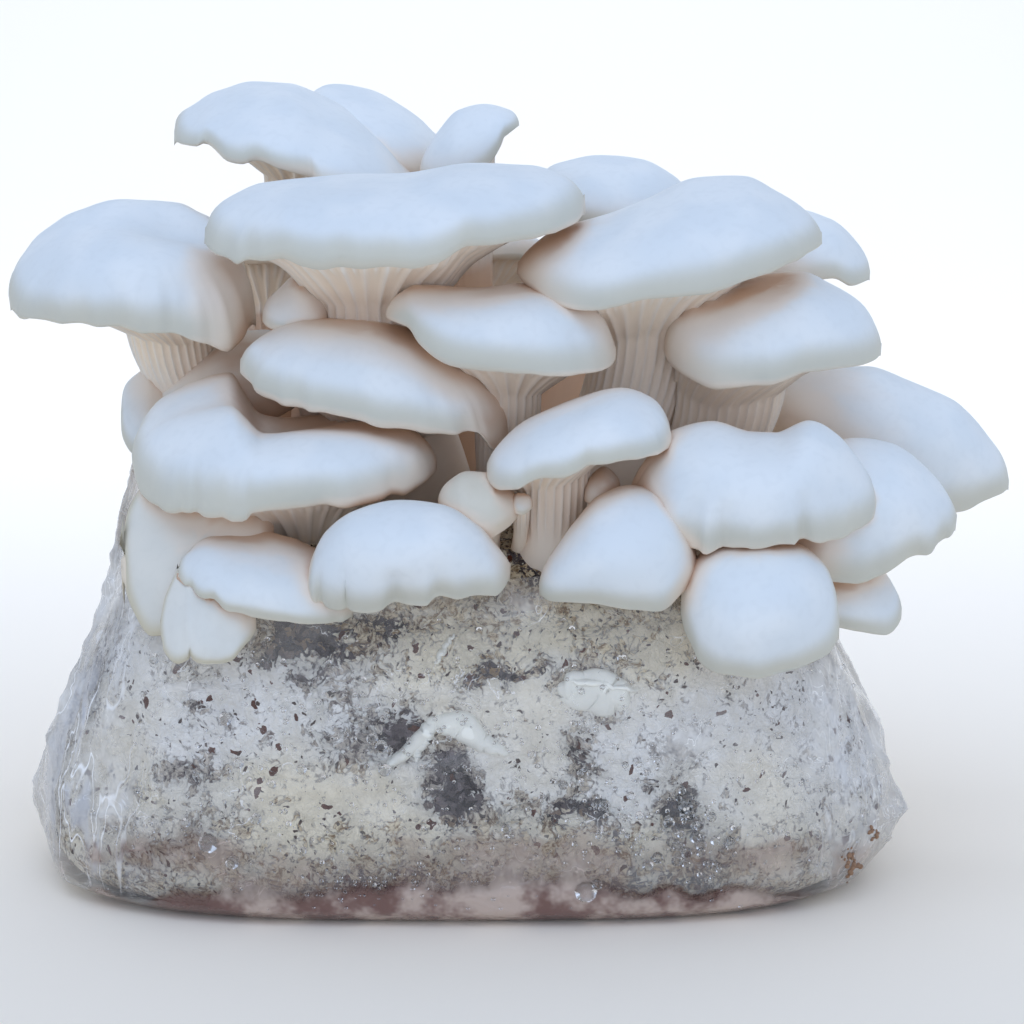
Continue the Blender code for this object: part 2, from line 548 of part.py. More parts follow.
def boxes_meet(one, other):
    for axis in range(3):
        ones = [v.co[axis] for v in one.data.vertices]
        others = [v.co[axis] for v in other.data.vertices]
        if min(ones) > max(others) + GAP * MM or min(others) > max(ones) + GAP * MM:
            return False
    return True


def loose_parts(mesh):
    """The parts of a mesh that hang together over their edges, largest first."""
    left = set(mesh.faces)
    parts = []
    while left:
        start = left.pop()
        part, waiting = [start], [start]
        while waiting:
            for edge in waiting.pop().edges:
                for face in edge.link_faces:
                    if face in left:
                        left.remove(face)
                        part.append(face)
                        waiting.append(face)
        parts.append(part)
    parts.sort(key=lambda part: sum(face.calc_area() for face in part), reverse=True)
    return parts


def tidy(mesh, merge):
    """Join points nearer than merge, make flat areas one face again, and keep one part."""
    if merge:
        bmesh.ops.remove_doubles(mesh, verts=mesh.verts, dist=merge)
        bmesh.ops.dissolve_degenerate(mesh, edges=mesh.edges, dist=merge)
        bmesh.ops.dissolve_limit(mesh, angle_limit=FLAT, verts=mesh.verts, edges=mesh.edges)
    bmesh.ops.triangulate(mesh, faces=mesh.faces)
    for part in loose_parts(mesh)[1:]:
        bmesh.ops.delete(mesh, geom=part, context="FACES")


def cut(item, tool):
    """Take a swollen copy of tool away from item and keep the largest part."""
    cutter = swollen_copy(tool)
    step = item.modifiers.new("cut", "BOOLEAN")
    step.operation = "DIFFERENCE"
    step.solver = "EXACT"
    step.use_self = True
    step.object = cutter
    graph = bpy.context.evaluated_depsgraph_get()
    cleaned = bpy.data.meshes.new_from_object(item.evaluated_get(graph))
    item.modifiers.clear()
    bpy.data.objects.remove(cutter, do_unlink=True)
    for merge in MERGE_STEPS:
        mesh = bmesh.new()
        mesh.from_mesh(cleaned)
        tidy(mesh, merge)
        if all(len(edge.link_faces) == 2 for edge in mesh.edges):
            break
    mesh.to_mesh(item.data)
    mesh.free()
    bpy.data.meshes.remove(cleaned)
    for face in item.data.polygons:
        face.use_smooth = True


def build():
    clear_scene()
    film = material("clear_polyethylene_film", (0.78, 0.82, 0.86), 0.2)
    sawdust = material("colonised_sawdust", (0.62, 0.57, 0.5), 0.9)
    flesh = material("oyster_mushroom_flesh", (0.84, 0.86, 0.88), 0.6)

    block = skin("substrate_block", block_loops(BAG_SIDES), sawdust)
    bag = skin("plastic_bag", bag_loops(BAG_SIDES), film)

    done = []
    for name in FRONT_TO_BACK:
        cap = Mushroom(MUSHROOMS[name])
        sides = CAP_SIDES if 2 * cap.half_width > SMALL_CAP_WIDTH else SMALL_CAP_SIDES
        item = skin(name, cap.rings(sides, CROWN_RINGS, GILL_RINGS, STEM_RINGS), flesh)
        for tool in [block, bag] + done:
            if boxes_meet(item, tool):
                cut(item, tool)
        done.append(item)


build()
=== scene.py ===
# %% [markdown]
# # An oyster mushroom grow bag
#
# The object is a block of sawdust that white mycelium has grown through, wrapped in clear
# film, with a crowded cluster of oyster mushrooms on top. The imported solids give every
# piece its place and its size. This lesson dresses them: each mushroom gets its rolled rim
# and gills, the block its felt and crumbs, and the film its creases and droplets.
#
# All lengths below are in millimetres until a mesh is made, because caps and films are
# easier to think of that way.

import math

import bpy
import numpy as np
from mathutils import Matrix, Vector, noise
from mathutils.bvhtree import BVHTree
from mathutils.kdtree import KDTree


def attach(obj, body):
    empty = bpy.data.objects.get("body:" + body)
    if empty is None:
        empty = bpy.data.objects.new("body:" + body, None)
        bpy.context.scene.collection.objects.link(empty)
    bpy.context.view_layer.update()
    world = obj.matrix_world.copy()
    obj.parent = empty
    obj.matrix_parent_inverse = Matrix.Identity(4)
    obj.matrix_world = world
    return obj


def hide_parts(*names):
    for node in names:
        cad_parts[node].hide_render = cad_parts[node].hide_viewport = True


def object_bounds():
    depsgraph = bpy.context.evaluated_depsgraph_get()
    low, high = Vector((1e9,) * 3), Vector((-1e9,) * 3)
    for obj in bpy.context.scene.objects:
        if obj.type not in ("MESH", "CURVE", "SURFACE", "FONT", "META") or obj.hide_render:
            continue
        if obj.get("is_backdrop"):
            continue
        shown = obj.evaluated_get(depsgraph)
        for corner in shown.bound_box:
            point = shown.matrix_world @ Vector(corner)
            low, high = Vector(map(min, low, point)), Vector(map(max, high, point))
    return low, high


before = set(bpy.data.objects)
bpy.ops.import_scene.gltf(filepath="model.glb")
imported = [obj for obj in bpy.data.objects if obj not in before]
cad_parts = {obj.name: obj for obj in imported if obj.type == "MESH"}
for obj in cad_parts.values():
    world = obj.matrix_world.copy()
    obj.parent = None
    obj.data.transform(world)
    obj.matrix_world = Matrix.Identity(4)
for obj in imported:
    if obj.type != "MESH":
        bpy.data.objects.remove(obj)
cad_low, cad_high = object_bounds()
MM = 0.001
scene = bpy.context.scene
print("frame", len(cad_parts), "solids, size", [round(1000 * s) for s in cad_high - cad_low])

# %% [markdown]
# ## Camera
#
# The object is seen from the front and a little above. A long lens keeps the near caps from
# looking too large. The camera's place matters twice here, because the outlines of the caps
# were drawn from it: see the caps below.

# %% Camera
EYE = np.array([12.5, -733.6, 258.3])      # the eye's place
AIM = np.array([12.5, 0.0, 102.4])         # the point in the middle of the view
SENSOR = 36.0
LENS = 2500 / 1024 * SENSOR                # a lens of 2500 pixels for a frame of 1024

camera = bpy.data.objects.new("camera", bpy.data.cameras.new("camera"))
scene.collection.objects.link(camera)
camera.location = Vector(EYE) * MM
camera.rotation_euler = Vector(AIM - EYE).to_track_quat("-Z", "Y").to_euler()
camera.data.sensor_width = SENSOR
camera.data.lens = LENS
camera.data.clip_start = 0.05
scene.camera = camera
fall, reach = EYE[2] - AIM[2], AIM[1] - EYE[1]
print("camera looks down by", round(math.degrees(math.atan2(fall, reach)), 1), "degrees")

# %% [markdown]
# ## Colours and nodes
#
# A colour is written as the hex value that a screen shows. Blender's shaders count light, so
# one function turns the hex value into linear light. One more function adds a shader node:
# its inputs are either plain values or the outputs of other nodes.

# %% Colour and node helpers
def linear(code):
    """Linear red, green, blue and alpha of an sRGB hex colour."""
    values = [int(code[place:place + 2], 16) / 255 for place in (1, 3, 5)]
    return [v / 12.92 if v <= 0.04045 else ((v + 0.055) / 1.055) ** 2.4 for v in values] + [1.0]


def add(tree, kind, inputs=(), **options):
    """Add a node with its options, and set or link its inputs."""
    node = tree.nodes.new(kind)
    for option, value in options.items():
        setattr(node, option, value)
    for key, value in dict(inputs).items():
        socket = node.inputs[key]
        if isinstance(value, bpy.types.NodeSocket):
            tree.links.new(value, socket)
        else:
            socket.default_value = value
    return node


def new_material(name):
    """An empty material with its node tree and its output node."""
    made = bpy.data.materials.new(name)
    made.use_nodes = True
    made.node_tree.nodes.clear()
    return made, made.node_tree, add(made.node_tree, "ShaderNodeOutputMaterial")


FACTOR, COLOUR_A, COLOUR_B, MIXED = 0, 6, 7, 2     # sockets of a Mix node that mixes colours


def mix(tree, share, one, other):
    """Colour between two colours; each may be a value or an output."""
    return add(tree, "ShaderNodeMix", {FACTOR: share, COLOUR_A: one, COLOUR_B: other},
               data_type="RGBA").outputs[MIXED]


def step(tree, value, low, high):
    """0 where the value is below low, 1 above high, and a soft step between."""
    return add(tree, "ShaderNodeMapRange",
               {"Value": value, "From Min": low, "From Max": high},
               interpolation_type="SMOOTHSTEP").outputs[0]


def sums(tree, kind, one, other):
    """One Math node: kind is ADD, MULTIPLY and so on."""
    return add(tree, "ShaderNodeMath", {0: one, 1: other}, operation=kind).outputs[0]


print("white felt in linear light:", [round(v, 2) for v in linear("#e4e6ea")[:3]])

# %% [markdown]
# ## Light and floor
#
# The cluster stood outdoors under an even sky, so most light comes from all round and has
# the sky's blue. A large soft light above the front adds a gentle direction, and a smaller
# one fills in from the right. Deep between the caps light has bounced off cream flesh many
# times and turns warm. The fourth light is for the backdrop alone. The floor is a board that
# sweeps up behind the object, so that no horizon shows; its paint is a warm white, which
# looks neutral under this light.

# %% Light and floor
def soft_light(name, place, target, size, power, colour):
    data = bpy.data.lights.new(name, "AREA")
    data.shape = "RECTANGLE"
    data.size, data.size_y = size
    data.energy = power
    data.color = linear(colour)[:3]
    lamp = bpy.data.objects.new(name, data)
    scene.collection.objects.link(lamp)
    lamp.location = place
    lamp.rotation_euler = (Vector(target) - Vector(place)).to_track_quat("-Z", "Y").to_euler()
    return lamp


SKY = "#d7e6ff"
soft_light("sky_above", (-0.2, -0.6, 1.2), (0, -0.02, 0.12), (1.3, 0.9), 4.2, SKY)
soft_light("front_fill", (0.2, -1.5, 0.35), (0, 0, 0.12), (1.2, 0.6), 2.7, SKY)
soft_light("right_fill", (1.2, -0.2, 0.6), (0, 0, 0.12), (0.8, 0.8), 0.8, SKY)
soft_light("backdrop_light", (0, 0.45, 1.3), (0, 2.2, 0.5), (2.4, 0.6), 26.0, SKY)

world = bpy.data.worlds.new("pale_sky")
world.use_nodes = True
sky = world.node_tree.nodes["Background"]
sky.inputs["Color"].default_value = linear(SKY)
sky.inputs["Strength"].default_value = 0.78
scene.world = world
scene.view_settings.view_transform = "Standard"

half_width, front_end, bend_start, bend_radius, wall_top = 4.0, -3.0, 1.2, 1.5, 4.0
profile = [(front_end, 0.0), (bend_start, 0.0)]
for turn in np.linspace(0, math.pi / 2, 17)[1:]:
    profile.append((bend_start + bend_radius * math.sin(turn),
                    bend_radius * (1 - math.cos(turn))))
profile.append((bend_start + bend_radius, wall_top))
floor_data = bpy.data.meshes.new("floor")
floor_data.from_pydata([(x, y, z) for y, z in profile for x in (-half_width, half_width)], [],
                       [(2 * k, 2 * k + 1, 2 * k + 3, 2 * k + 2)
                        for k in range(len(profile) - 1)])
for face in floor_data.polygons:
    face.use_smooth = True
floor = bpy.data.objects.new("floor", floor_data)
scene.collection.objects.link(floor)
FLOOR_DROP = 0.0004                        # so that the film doesn't share its plane
floor.location.z = -FLOOR_DROP
floor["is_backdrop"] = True
floor_paint, tree, out = new_material("white_painted_board")
board = add(tree, "ShaderNodeBsdfPrincipled",
            {"Base Color": linear("#fff5e6"), "Roughness": 0.85})
tree.links.new(board.outputs[0], out.inputs[0])
floor_data.materials.append(floor_paint)
print("four lights, a pale sky and a board with", len(profile), "profile points")

# %% [markdown]
# ## Numbers that bend
#
# Outlines are short lists of points. A smooth curve through them must not overshoot, or a
# cap would grow bumps that nobody drew. Cubic pieces whose slopes are held back where the
# points turn, as below, keep every bump where a point says so.

# %% Curve helpers
def smooth(value, low, high):
    share = np.clip((value - low) / (high - low), 0.0, 1.0)
    return share * share * (3 - 2 * share)


def blend(a, b, share):
    return a + (b - a) * share


def curve(x, xs, ys):
    """Smooth curve through the points (xs, ys), read at x, with no overshoot."""
    xs, ys = np.asarray(xs, float), np.asarray(ys, float)
    width = np.maximum(np.diff(xs), 1e-6)
    rise = np.diff(ys) / width
    slope = np.empty(len(xs))
    slope[0], slope[-1] = rise[0], rise[-1]
    before, after = rise[:-1], rise[1:]
    same = before * after > 0
    slope[1:-1] = np.where(same, 2 * before * after / np.where(same, before + after, 1), 0)
    at = np.clip(np.searchsorted(xs, x) - 1, 0, len(xs) - 2)
    t = np.clip((x - xs[at]) / width[at], 0, 1)
    a, b = ys[at], ys[at + 1]
    u, v = slope[at] * width[at], slope[at + 1] * width[at]
    return a + t * (u + t * (3 * (b - a) - 2 * u - v + t * (u + v - 2 * (b - a))))


def wobble(points, size, seed):
    """Smooth noise from about -1 to 1 at each point; size is its wavelength in mm."""
    shift = Vector((seed * 7.31, seed * 3.17, seed * 5.43))
    return np.array([noise.noise(Vector(p) / size + shift) for p in points.tolist()]) * 1.8


print("a curve through 0, 1, 1, 0:", curve(np.array([0.5, 1.5, 2.5]), [0, 1, 2, 3], [0, 1, 1, 0]))

# %% [markdown]
# ## The mushrooms' outlines
#
# Each cap is a fan with a rolled rim, so two lines say almost all about it: the upper edge
# and the lower rim, seen from the front. They are drawn on the upright plane y = 0 and then
# slid along the line of sight to the cap's own depth, which keeps the drawn shape exactly.
# The same numbers make the solids. The rims below them are finer lists, only for caps whose
# rim is visibly scalloped.

# %% Outline table
# Defaults of a mushroom, each of which an entry can replace.
PLAIN = {
    "depth": 55,         # cap length from front rim to back rim
    "pitch": 10,         # how far the cap tips towards the front, degrees
    "stout": 0.75,       # highest dome of the cap, in half widths
    "bowl": 0,           # how deep the cap sinks behind its front lobe
    "bowl_at": (0.0, 0.25),  # the deepest place, in half widths and half depths
    "lift": 0,           # how far the back rim stands up
    "lean": 0.0,         # above 0 the back rim stands higher on the left than on the right
    "neck": (0.0, 0.3),  # where the stem meets the cap, in half widths from its middle
    "gill_drop": 0.2,    # how far the gills run down the stem, in cap widths
    "stem": 8,           # stem radius in its middle
    "base": 1.6,         # how much thicker the stem's foot is, where stems grow together
    "turned": False,     # True for a cap that faces the back of the cluster
}

# Each mushroom: the upper outline and the lower rim of its cap from left tip to right tip,
# the depth of its front rim, and the place where its stem comes out of the cluster's foot.
MUSHROOMS = {
    "mushroom_top_left": {
        "upper": [(-85.5, 213), (-84.5, 218.5), (-80, 222.5), (-72.7, 227.7), (-62.7, 230.4),
                  (-52, 230), (-44, 227), (-35.5, 222.5), (-28, 216), (-20, 207), (-15, 199)],
        "lower": [(-85.5, 212), (-79.2, 210.2), (-70.4, 206), (-60, 205), (-51, 202),
                  (-40, 196), (-28, 194), (-15, 197)],
        "front": -12, "depth": 62, "pitch": 12, "foot": (-42, 6)},
    "mushroom_top_middle": {
        "upper": [(-52, 216), (-48, 225), (-40, 229), (-30, 227.7), (-20, 223.8),
                  (-10.8, 217.3), (-7, 208), (-7, 203)],
        "lower": [(-52, 214), (-40, 204), (-25, 200), (-12, 200), (-7, 202)],
        "front": 18, "depth": 50, "pitch": 10, "foot": (-26, 22)},
    "mushroom_top_small": {
        "upper": [(-14.5, 203), (-12.8, 209.3), (-8.6, 215.6), (-2.7, 221.4), (5.3, 223.6),
                  (12, 222), (14.8, 217.5)],
        "lower": [(-14.5, 201), (-5, 199), (3, 203), (8.1, 209), (10.3, 213.4), (14.8, 217)],
        "front": 0, "depth": 26, "pitch": 20, "stem": 6, "foot": (2, 14)},
    "mushroom_upper_middle": {
        "upper": [(-78, 184.5), (-75.8, 192), (-70, 197), (-60, 201.5), (-40, 202.7),
                  (-20, 203.4), (0, 206.5), (17, 206.4), (26, 204), (32.5, 198.5), (33.7, 194)],
        "lower": [(-78, 183.5), (-74.3, 178.3), (-68, 175.7), (-54.7, 178), (-43.5, 175.4),
                  (-24, 175.6), (-10, 176), (0, 181.3), (12.5, 182.6), (24, 185), (31.5, 187.8),
                  (33.7, 192)],
        "front": -75, "depth": 64, "pitch": 4, "neck": (-0.08, 0.3), "gill_drop": 0.16,
        "stem": 16, "base": 1.25, "foot": (-14, -8)},
    "mushroom_left": {
        "upper": [(-135, 165), (-133, 175), (-125.5, 185.5), (-115, 192.5), (-100, 195.8),
                  (-85, 195), (-74, 190), (-67, 180), (-64, 166.5), (-63.7, 160)],
        "lower": [(-135, 164), (-130, 159.3), (-115, 157.3), (-100, 156.2), (-86, 154),
                  (-72, 150.7), (-65.4, 156.3), (-63.7, 159.5)],
        "front": -50, "depth": 62, "pitch": 16, "bowl": 10, "bowl_at": (0.45, 0.2),
        "lift": 7, "lean": 0.6, "neck": (0.3, 0.3), "stem": 11, "foot": (-62, -18)},
    "mushroom_middle_left": {
        "upper": [(-67.5, 146.5), (-65.4, 152.4), (-59.4, 157.2), (-48.2, 161), (-31.2, 161),
                  (-18.2, 158.3), (-8, 154), (0, 149), (7.9, 141.8), (12.4, 130), (12, 122)],
        "lower": [(-67.5, 145.5), (-60.3, 137.2), (-47.2, 132.6), (-31.7, 130), (-20.3, 127),
                  (-7.2, 124.5), (1.5, 124.8), (7, 119.2), (10, 118.8), (12, 121.5)],
        "front": -68, "depth": 50, "pitch": 14, "foot": (-24, -26)},
    "mushroom_middle": {
        "upper": [(-24.2, 161.5), (-20.6, 168), (-14.4, 170.8), (0, 170.8), (14, 172),
                  (28, 171), (38, 165), (43, 155), (43.9, 150)],
        "lower": [(-24.2, 160.5), (-17.8, 158.4), (-14, 153.2), (-5, 147), (6, 145),
                  (26.7, 142.7), (38.4, 143.4), (43.9, 149)],
        "front": -72, "depth": 44, "pitch": 10, "neck": (0.05, 0.25), "stem": 8,
        "foot": (8, -26)},
    "mushroom_upper_right": {
        "upper": [(14.8, 175.5), (17.6, 181), (27.4, 187.4), (41, 190.4), (52, 195.4),
                  (66.7, 201.5), (80, 202.5), (89.4, 198.7), (99.6, 191.8), (103.4, 184)],
        "lower": [(14.8, 174.5), (18.6, 169), (26, 163.2), (36, 161.6), (52.4, 164.8),
                  (69, 166.7), (83.4, 171.4), (93, 176), (103.4, 183)],
        "front": -70, "depth": 60, "pitch": 10, "neck": (-0.15, 0.3), "stem": 14,
        "base": 1.8, "foot": (32, -18)},
    "mushroom_top_right": {
        "upper": [(20, 199), (26.6, 206.3), (38, 209), (50, 207.7), (59, 202.7), (65, 193)],
        "lower": [(20, 198), (30, 189), (45, 186), (58, 188), (65, 192)],
        "front": 10, "depth": 42, "pitch": 14, "stem": 11, "foot": (20, 8)},
    "mushroom_far_right_upper": {
        "upper": [(77, 176), (83, 187), (90, 191.5), (97, 192.6), (105, 190), (114, 182.2),
                  (117.9, 173)],
        "lower": [(77, 175), (86, 170), (93, 169.5), (107, 172), (112, 170), (117.9, 172)],
        "front": -6, "depth": 36, "pitch": 12, "neck": (-0.3, 0.3), "stem": 7,
        "foot": (62, 12)},
    "mushroom_right": {
        "upper": [(57.7, 152.7), (60, 162), (68, 168.5), (83.3, 173), (97, 174),
                  (106, 170.6), (115, 165), (120, 157), (121.5, 151)],
        "lower": [(57.7, 152), (65.3, 143), (74, 139.6), (89.6, 140.4), (100, 143.5),
                  (115, 145.5), (121.5, 150)],
        "front": -60, "depth": 48, "pitch": 14, "neck": (-0.4, 0.3), "stem": 14,
        "base": 1.4, "foot": (56, -26)},
    "mushroom_far_right": {
        "upper": [(86, 134), (97, 143.6), (117.6, 146), (130, 142.2), (143.4, 137),
                  (154, 124.3), (160, 115.4), (161, 110)],
        "lower": [(86, 133), (95, 120), (108, 108), (125, 100), (147, 101.5), (154.5, 105),
                  (161, 109.5)],
        "front": -12, "depth": 44, "pitch": 36, "neck": (-0.3, 0.3), "gill_drop": 0.12,
        "foot": (74, 6)},
    "mushroom_front_right_large": {
        "upper": [(47.6, 100), (49, 112), (54, 122), (62, 127.2), (72, 129.2), (83.5, 125.6),
                  (91, 125.2), (101, 129.6), (109.4, 125.3), (117.3, 114.7), (121.4, 103)],
        "lower": [(47.6, 98.5), (50.6, 93.1), (61.3, 89.5), (70.7, 87.9), (82.7, 89.6),
                  (93, 90.5), (105.4, 91.5), (113.8, 94.7), (121.4, 102)],
        "front": -87, "depth": 50, "pitch": 28, "neck": (-0.1, 0.3), "gill_drop": 0.12,
        "stem": 9, "foot": (60, -34)},
    "mushroom_front_right_behind": {
        "upper": [(86.1, 97), (93, 113), (104, 122), (114, 125.1), (124.8, 123), (135.3, 115),
                  (142.9, 106.1), (145.4, 99.5)],
        "lower": [(86.1, 92), (88.4, 85.3), (97.1, 82.2), (109.6, 79.1), (121.3, 80.4),
                  (130.2, 86.4), (138.9, 88.7), (145.4, 98)],
        "front": -66, "depth": 44, "pitch": 34, "neck": (-0.3, 0.3), "gill_drop": 0.1,
        "foot": (76, -20)},
    "mushroom_front_middle": {
        "upper": [(5.9, 115), (10.1, 123.6), (19.2, 130.7), (32.8, 136.4), (44.7, 139.2),
                  (53.2, 136.1), (58.6, 129.2), (59.5, 123.6)],
        "lower": [(5.9, 113.5), (9.6, 108.4), (14.1, 108.5), (19.8, 111.9), (29.4, 113),
                  (38, 116.7), (51.6, 118.3), (59.5, 122)],
        "front": -88, "depth": 38, "pitch": 16, "neck": (-0.28, 0.3), "gill_drop": 0.18,
        "stem": 9, "foot": (23, -48)},
    "mushroom_front_left_large": {
        "upper": [(-100, 115), (-98, 126.5), (-90, 137.3), (-80, 142.5), (-71, 144.5),
                  (-66.5, 139.5), (-62, 133.4), (-55.6, 132.4), (-47.5, 132.2), (-35, 131.5),
                  (-22, 129.5), (-14, 125), (-10.5, 117)],
        "lower": [(-100, 114), (-96.2, 104.4), (-88, 101.8), (-74, 100.9), (-58, 102.9),
                  (-39, 103.8), (-25, 106.8), (-14.2, 110.8), (-10.5, 115.5)],
        "front": -80, "depth": 64, "pitch": 8, "bowl": 9, "bowl_at": (0.1, 0.25),
        "lift": 10, "lean": 1.0, "neck": (0.1, 0.2), "stem": 11, "foot": (-46, -34)},
    "mushroom_left_behind": {
        "upper": [(-94, 136), (-89, 144), (-80, 150.5), (-70, 156), (-60, 157), (-52, 152),
                  (-47, 144)],
        "lower": [(-94, 134), (-82, 128), (-66, 128), (-47, 142)],
        "front": -22, "depth": 36, "pitch": 14, "stem": 8, "foot": (-58, 2)},
    "mushroom_far_left": {
        "upper": [(-103.7, 131), (-102.7, 139.2), (-99, 144), (-95.2, 146.2), (-90, 143),
                  (-86, 134)],
        "lower": [(-103.7, 129), (-100.5, 119.3), (-94, 118), (-86, 130)],
        "front": -20, "depth": 24, "pitch": 26, "stem": 5, "foot": (-76, 0)},
    "mushroom_front_left": {
        "upper": [(-49.6, 79.3), (-47.8, 89.4), (-43.6, 97), (-34.9, 103.5), (-21.5, 106.6),
                  (-8.2, 105.1), (1.6, 99.1), (7.8, 92.3), (11.2, 84)],
        "lower": [(-49.6, 78.4), (-47, 72.9), (-38, 71.8), (-27.5, 70.8), (-13.5, 72),
                  (-9, 75), (4, 75.4), (11.2, 82.5)],
        "front": -93, "depth": 38, "pitch": 42, "neck": (0.0, 0.5), "gill_drop": 0.06,
        "foot": (-18, -44)},
    "mushroom_front_far_left": {
        "upper": [(-88.6, 83.6), (-85.9, 90.3), (-77.8, 95.6), (-61.7, 96.9), (-48, 92.5),
                  (-40, 85), (-36.5, 72)],
        "lower": [(-88.6, 81.3), (-83.6, 76.2), (-77, 73.6), (-68.3, 69), (-54.1, 66.8),
                  (-42, 67.2), (-36.5, 71)],
        "front": -88, "depth": 38, "pitch": 40, "neck": (0.2, 0.5), "gill_drop": 0.06,
        "foot": (-48, -42)},
    "mushroom_left_leaf": {
        "upper": [(-104.9, 92), (-102.8, 103.8), (-98, 110.5), (-88, 112.5), (-75, 112),
                  (-66, 108), (-59, 96)],
        "lower": [(-104.9, 84), (-102, 70), (-96.5, 62.5), (-88, 64), (-76, 74), (-66, 84),
                  (-59, 94)],
        "front": -71, "depth": 44, "pitch": 56, "stout": 0.3, "neck": (0.3, 0.6),
        "gill_drop": 0.05,
        "foot": (-62, -30)},
    "mushroom_left_low": {
        "upper": [(-93.8, 66), (-91.5, 78), (-86, 88), (-80, 91), (-72, 88), (-65, 67.5)],
        "lower": [(-93.8, 64.5), (-90.6, 55.4), (-87.5, 54.9), (-85.3, 57.2), (-82.1, 54),
                  (-75.1, 54.1), (-69.2, 58.9), (-65, 66.5)],
        "front": -88, "depth": 40, "pitch": 62, "neck": (0.1, 0.7), "gill_drop": 0.04,
        "stem": 5, "foot": (-74, -42)},
    "mushroom_front_centre_right": {
        "upper": [(21.4, 79.5), (25.5, 90.3), (31.8, 99.1), (38.6, 107.3), (47.7, 110.8),
                  (58, 108), (65, 98), (67.7, 86)],
        "lower": [(21.4, 78), (23.8, 74.8), (36.3, 73.3), (47.8, 71.4), (56.9, 70.7),
                  (63.1, 75.4), (67.7, 85)],
        "front": -90, "depth": 40, "pitch": 48, "neck": (-0.05, 0.5), "gill_drop": 0.06,
        "foot": (40, -44)},
    "mushroom_front_low_right": {
        "upper": [(64.2, 74), (67, 86), (75, 93), (87, 95), (98, 93), (107, 85), (111.4, 66)],
        "lower": [(64.2, 73), (66.4, 61.8), (72.2, 52.6), (83.3, 49.9), (95.9, 51.6),
                  (107, 56), (111.4, 65)],
        "front": -92, "depth": 42, "pitch": 52, "neck": (-0.1, 0.6), "gill_drop": 0.04,
        "foot": (70, -38)},
    "mushroom_far_low_right": {
        "upper": [(98, 72), (103, 82), (112, 87), (122, 85.5), (128.7, 77.4), (130, 71)],
        "lower": [(98, 70), (106, 66.8), (117.4, 64.8), (125.1, 63.7), (130, 70)],
        "front": -56, "depth": 26, "pitch": 34, "neck": (-0.2, 0.4), "gill_drop": 0.08,
        "stem": 5, "foot": (86, -24)},
    "mushroom_knob": {
        "upper": [(-10, 105), (-6.3, 112), (-0.6, 114.9), (5.3, 114.5), (10, 111),
                  (14.9, 104.4)],
        "lower": [(-10, 103), (-4, 97), (3, 92), (9.6, 95.6), (14.9, 103)],
        "front": -78, "depth": 22, "pitch": 34, "gill_drop": 0.1, "stem": 6,
        "foot": (2, -46)},
    "mushroom_shaded_left": {
        "upper": [(-61, 162), (-56.5, 169.5), (-50, 174), (-45, 170.5), (-41.5, 160)],
        "lower": [(-61, 160), (-55, 156), (-46, 156), (-41.5, 159)],
        "front": -44, "depth": 20, "pitch": 20, "stem": 5, "foot": (-34, -12)},
    "mushroom_shaded_middle": {
        "upper": [(34.3, 108), (36.5, 114), (40, 116.3), (43.5, 113.5), (45, 109)],
        "lower": [(34.3, 106), (39.5, 103), (45, 108)],
        "front": -68, "depth": 12, "pitch": 24, "stem": 4, "foot": (38, -38)},
    "mushroom_pin": {
        "upper": [(12, 104), (14.5, 108.4), (17.5, 107.6), (18.7, 105)],
        "lower": [(12, 103), (15.3, 100.9), (18.7, 104)],
        "front": -74, "depth": 6, "pitch": 24, "stem": 2, "foot": (14, -46)},
    "mushroom_back_left": {
        "upper": [(-86, 126), (-82, 136), (-66, 145), (-46, 147), (-26, 141), (-14, 126)],
        "lower": [(-86, 124), (-72, 117), (-50, 115), (-28, 118), (-14, 124)],
        "front": -92, "depth": 56, "pitch": 18, "foot": (-50, -30), "turned": True},
    "mushroom_back_middle": {
        "upper": [(-34, 162), (-28, 171), (-10, 178), (12, 178), (30, 170), (38, 160)],
        "lower": [(-34, 160), (-20, 153), (4, 150), (26, 153), (38, 158)],
        "front": -84, "depth": 54, "pitch": 12, "foot": (0, -26), "turned": True},
    "mushroom_back_right": {
        "upper": [(20, 118), (26, 131), (42, 139), (62, 140), (80, 132), (88, 119)],
        "lower": [(20, 116), (36, 108), (56, 107), (76, 110), (88, 117)],
        "front": -90, "depth": 52, "pitch": 20, "foot": (52, -28), "turned": True},
    "mushroom_back_low": {
        "upper": [(-30, 98), (-26, 110), (-12, 117), (6, 116), (18, 107), (22, 96)],
        "lower": [(-30, 96), (-18, 88), (-2, 86), (14, 89), (22, 94)],
        "front": -94, "depth": 38, "pitch": 26, "foot": (-4, -42), "turned": True},
    "mushroom_back_upper_right": {
        "upper": [(36, 166), (41, 175), (56, 182), (74, 181), (88, 171), (92, 162)],
        "lower": [(36, 164), (50, 157), (68, 155), (84, 158), (92, 161)],
        "front": -66, "depth": 46, "pitch": 12, "foot": (42, -18), "turned": True},
}

# %% [markdown]
# Some rims are scalloped: growth has been faster than the rim could stretch. A scallop is a
# few millimetres long, so those rims get a line of their own.

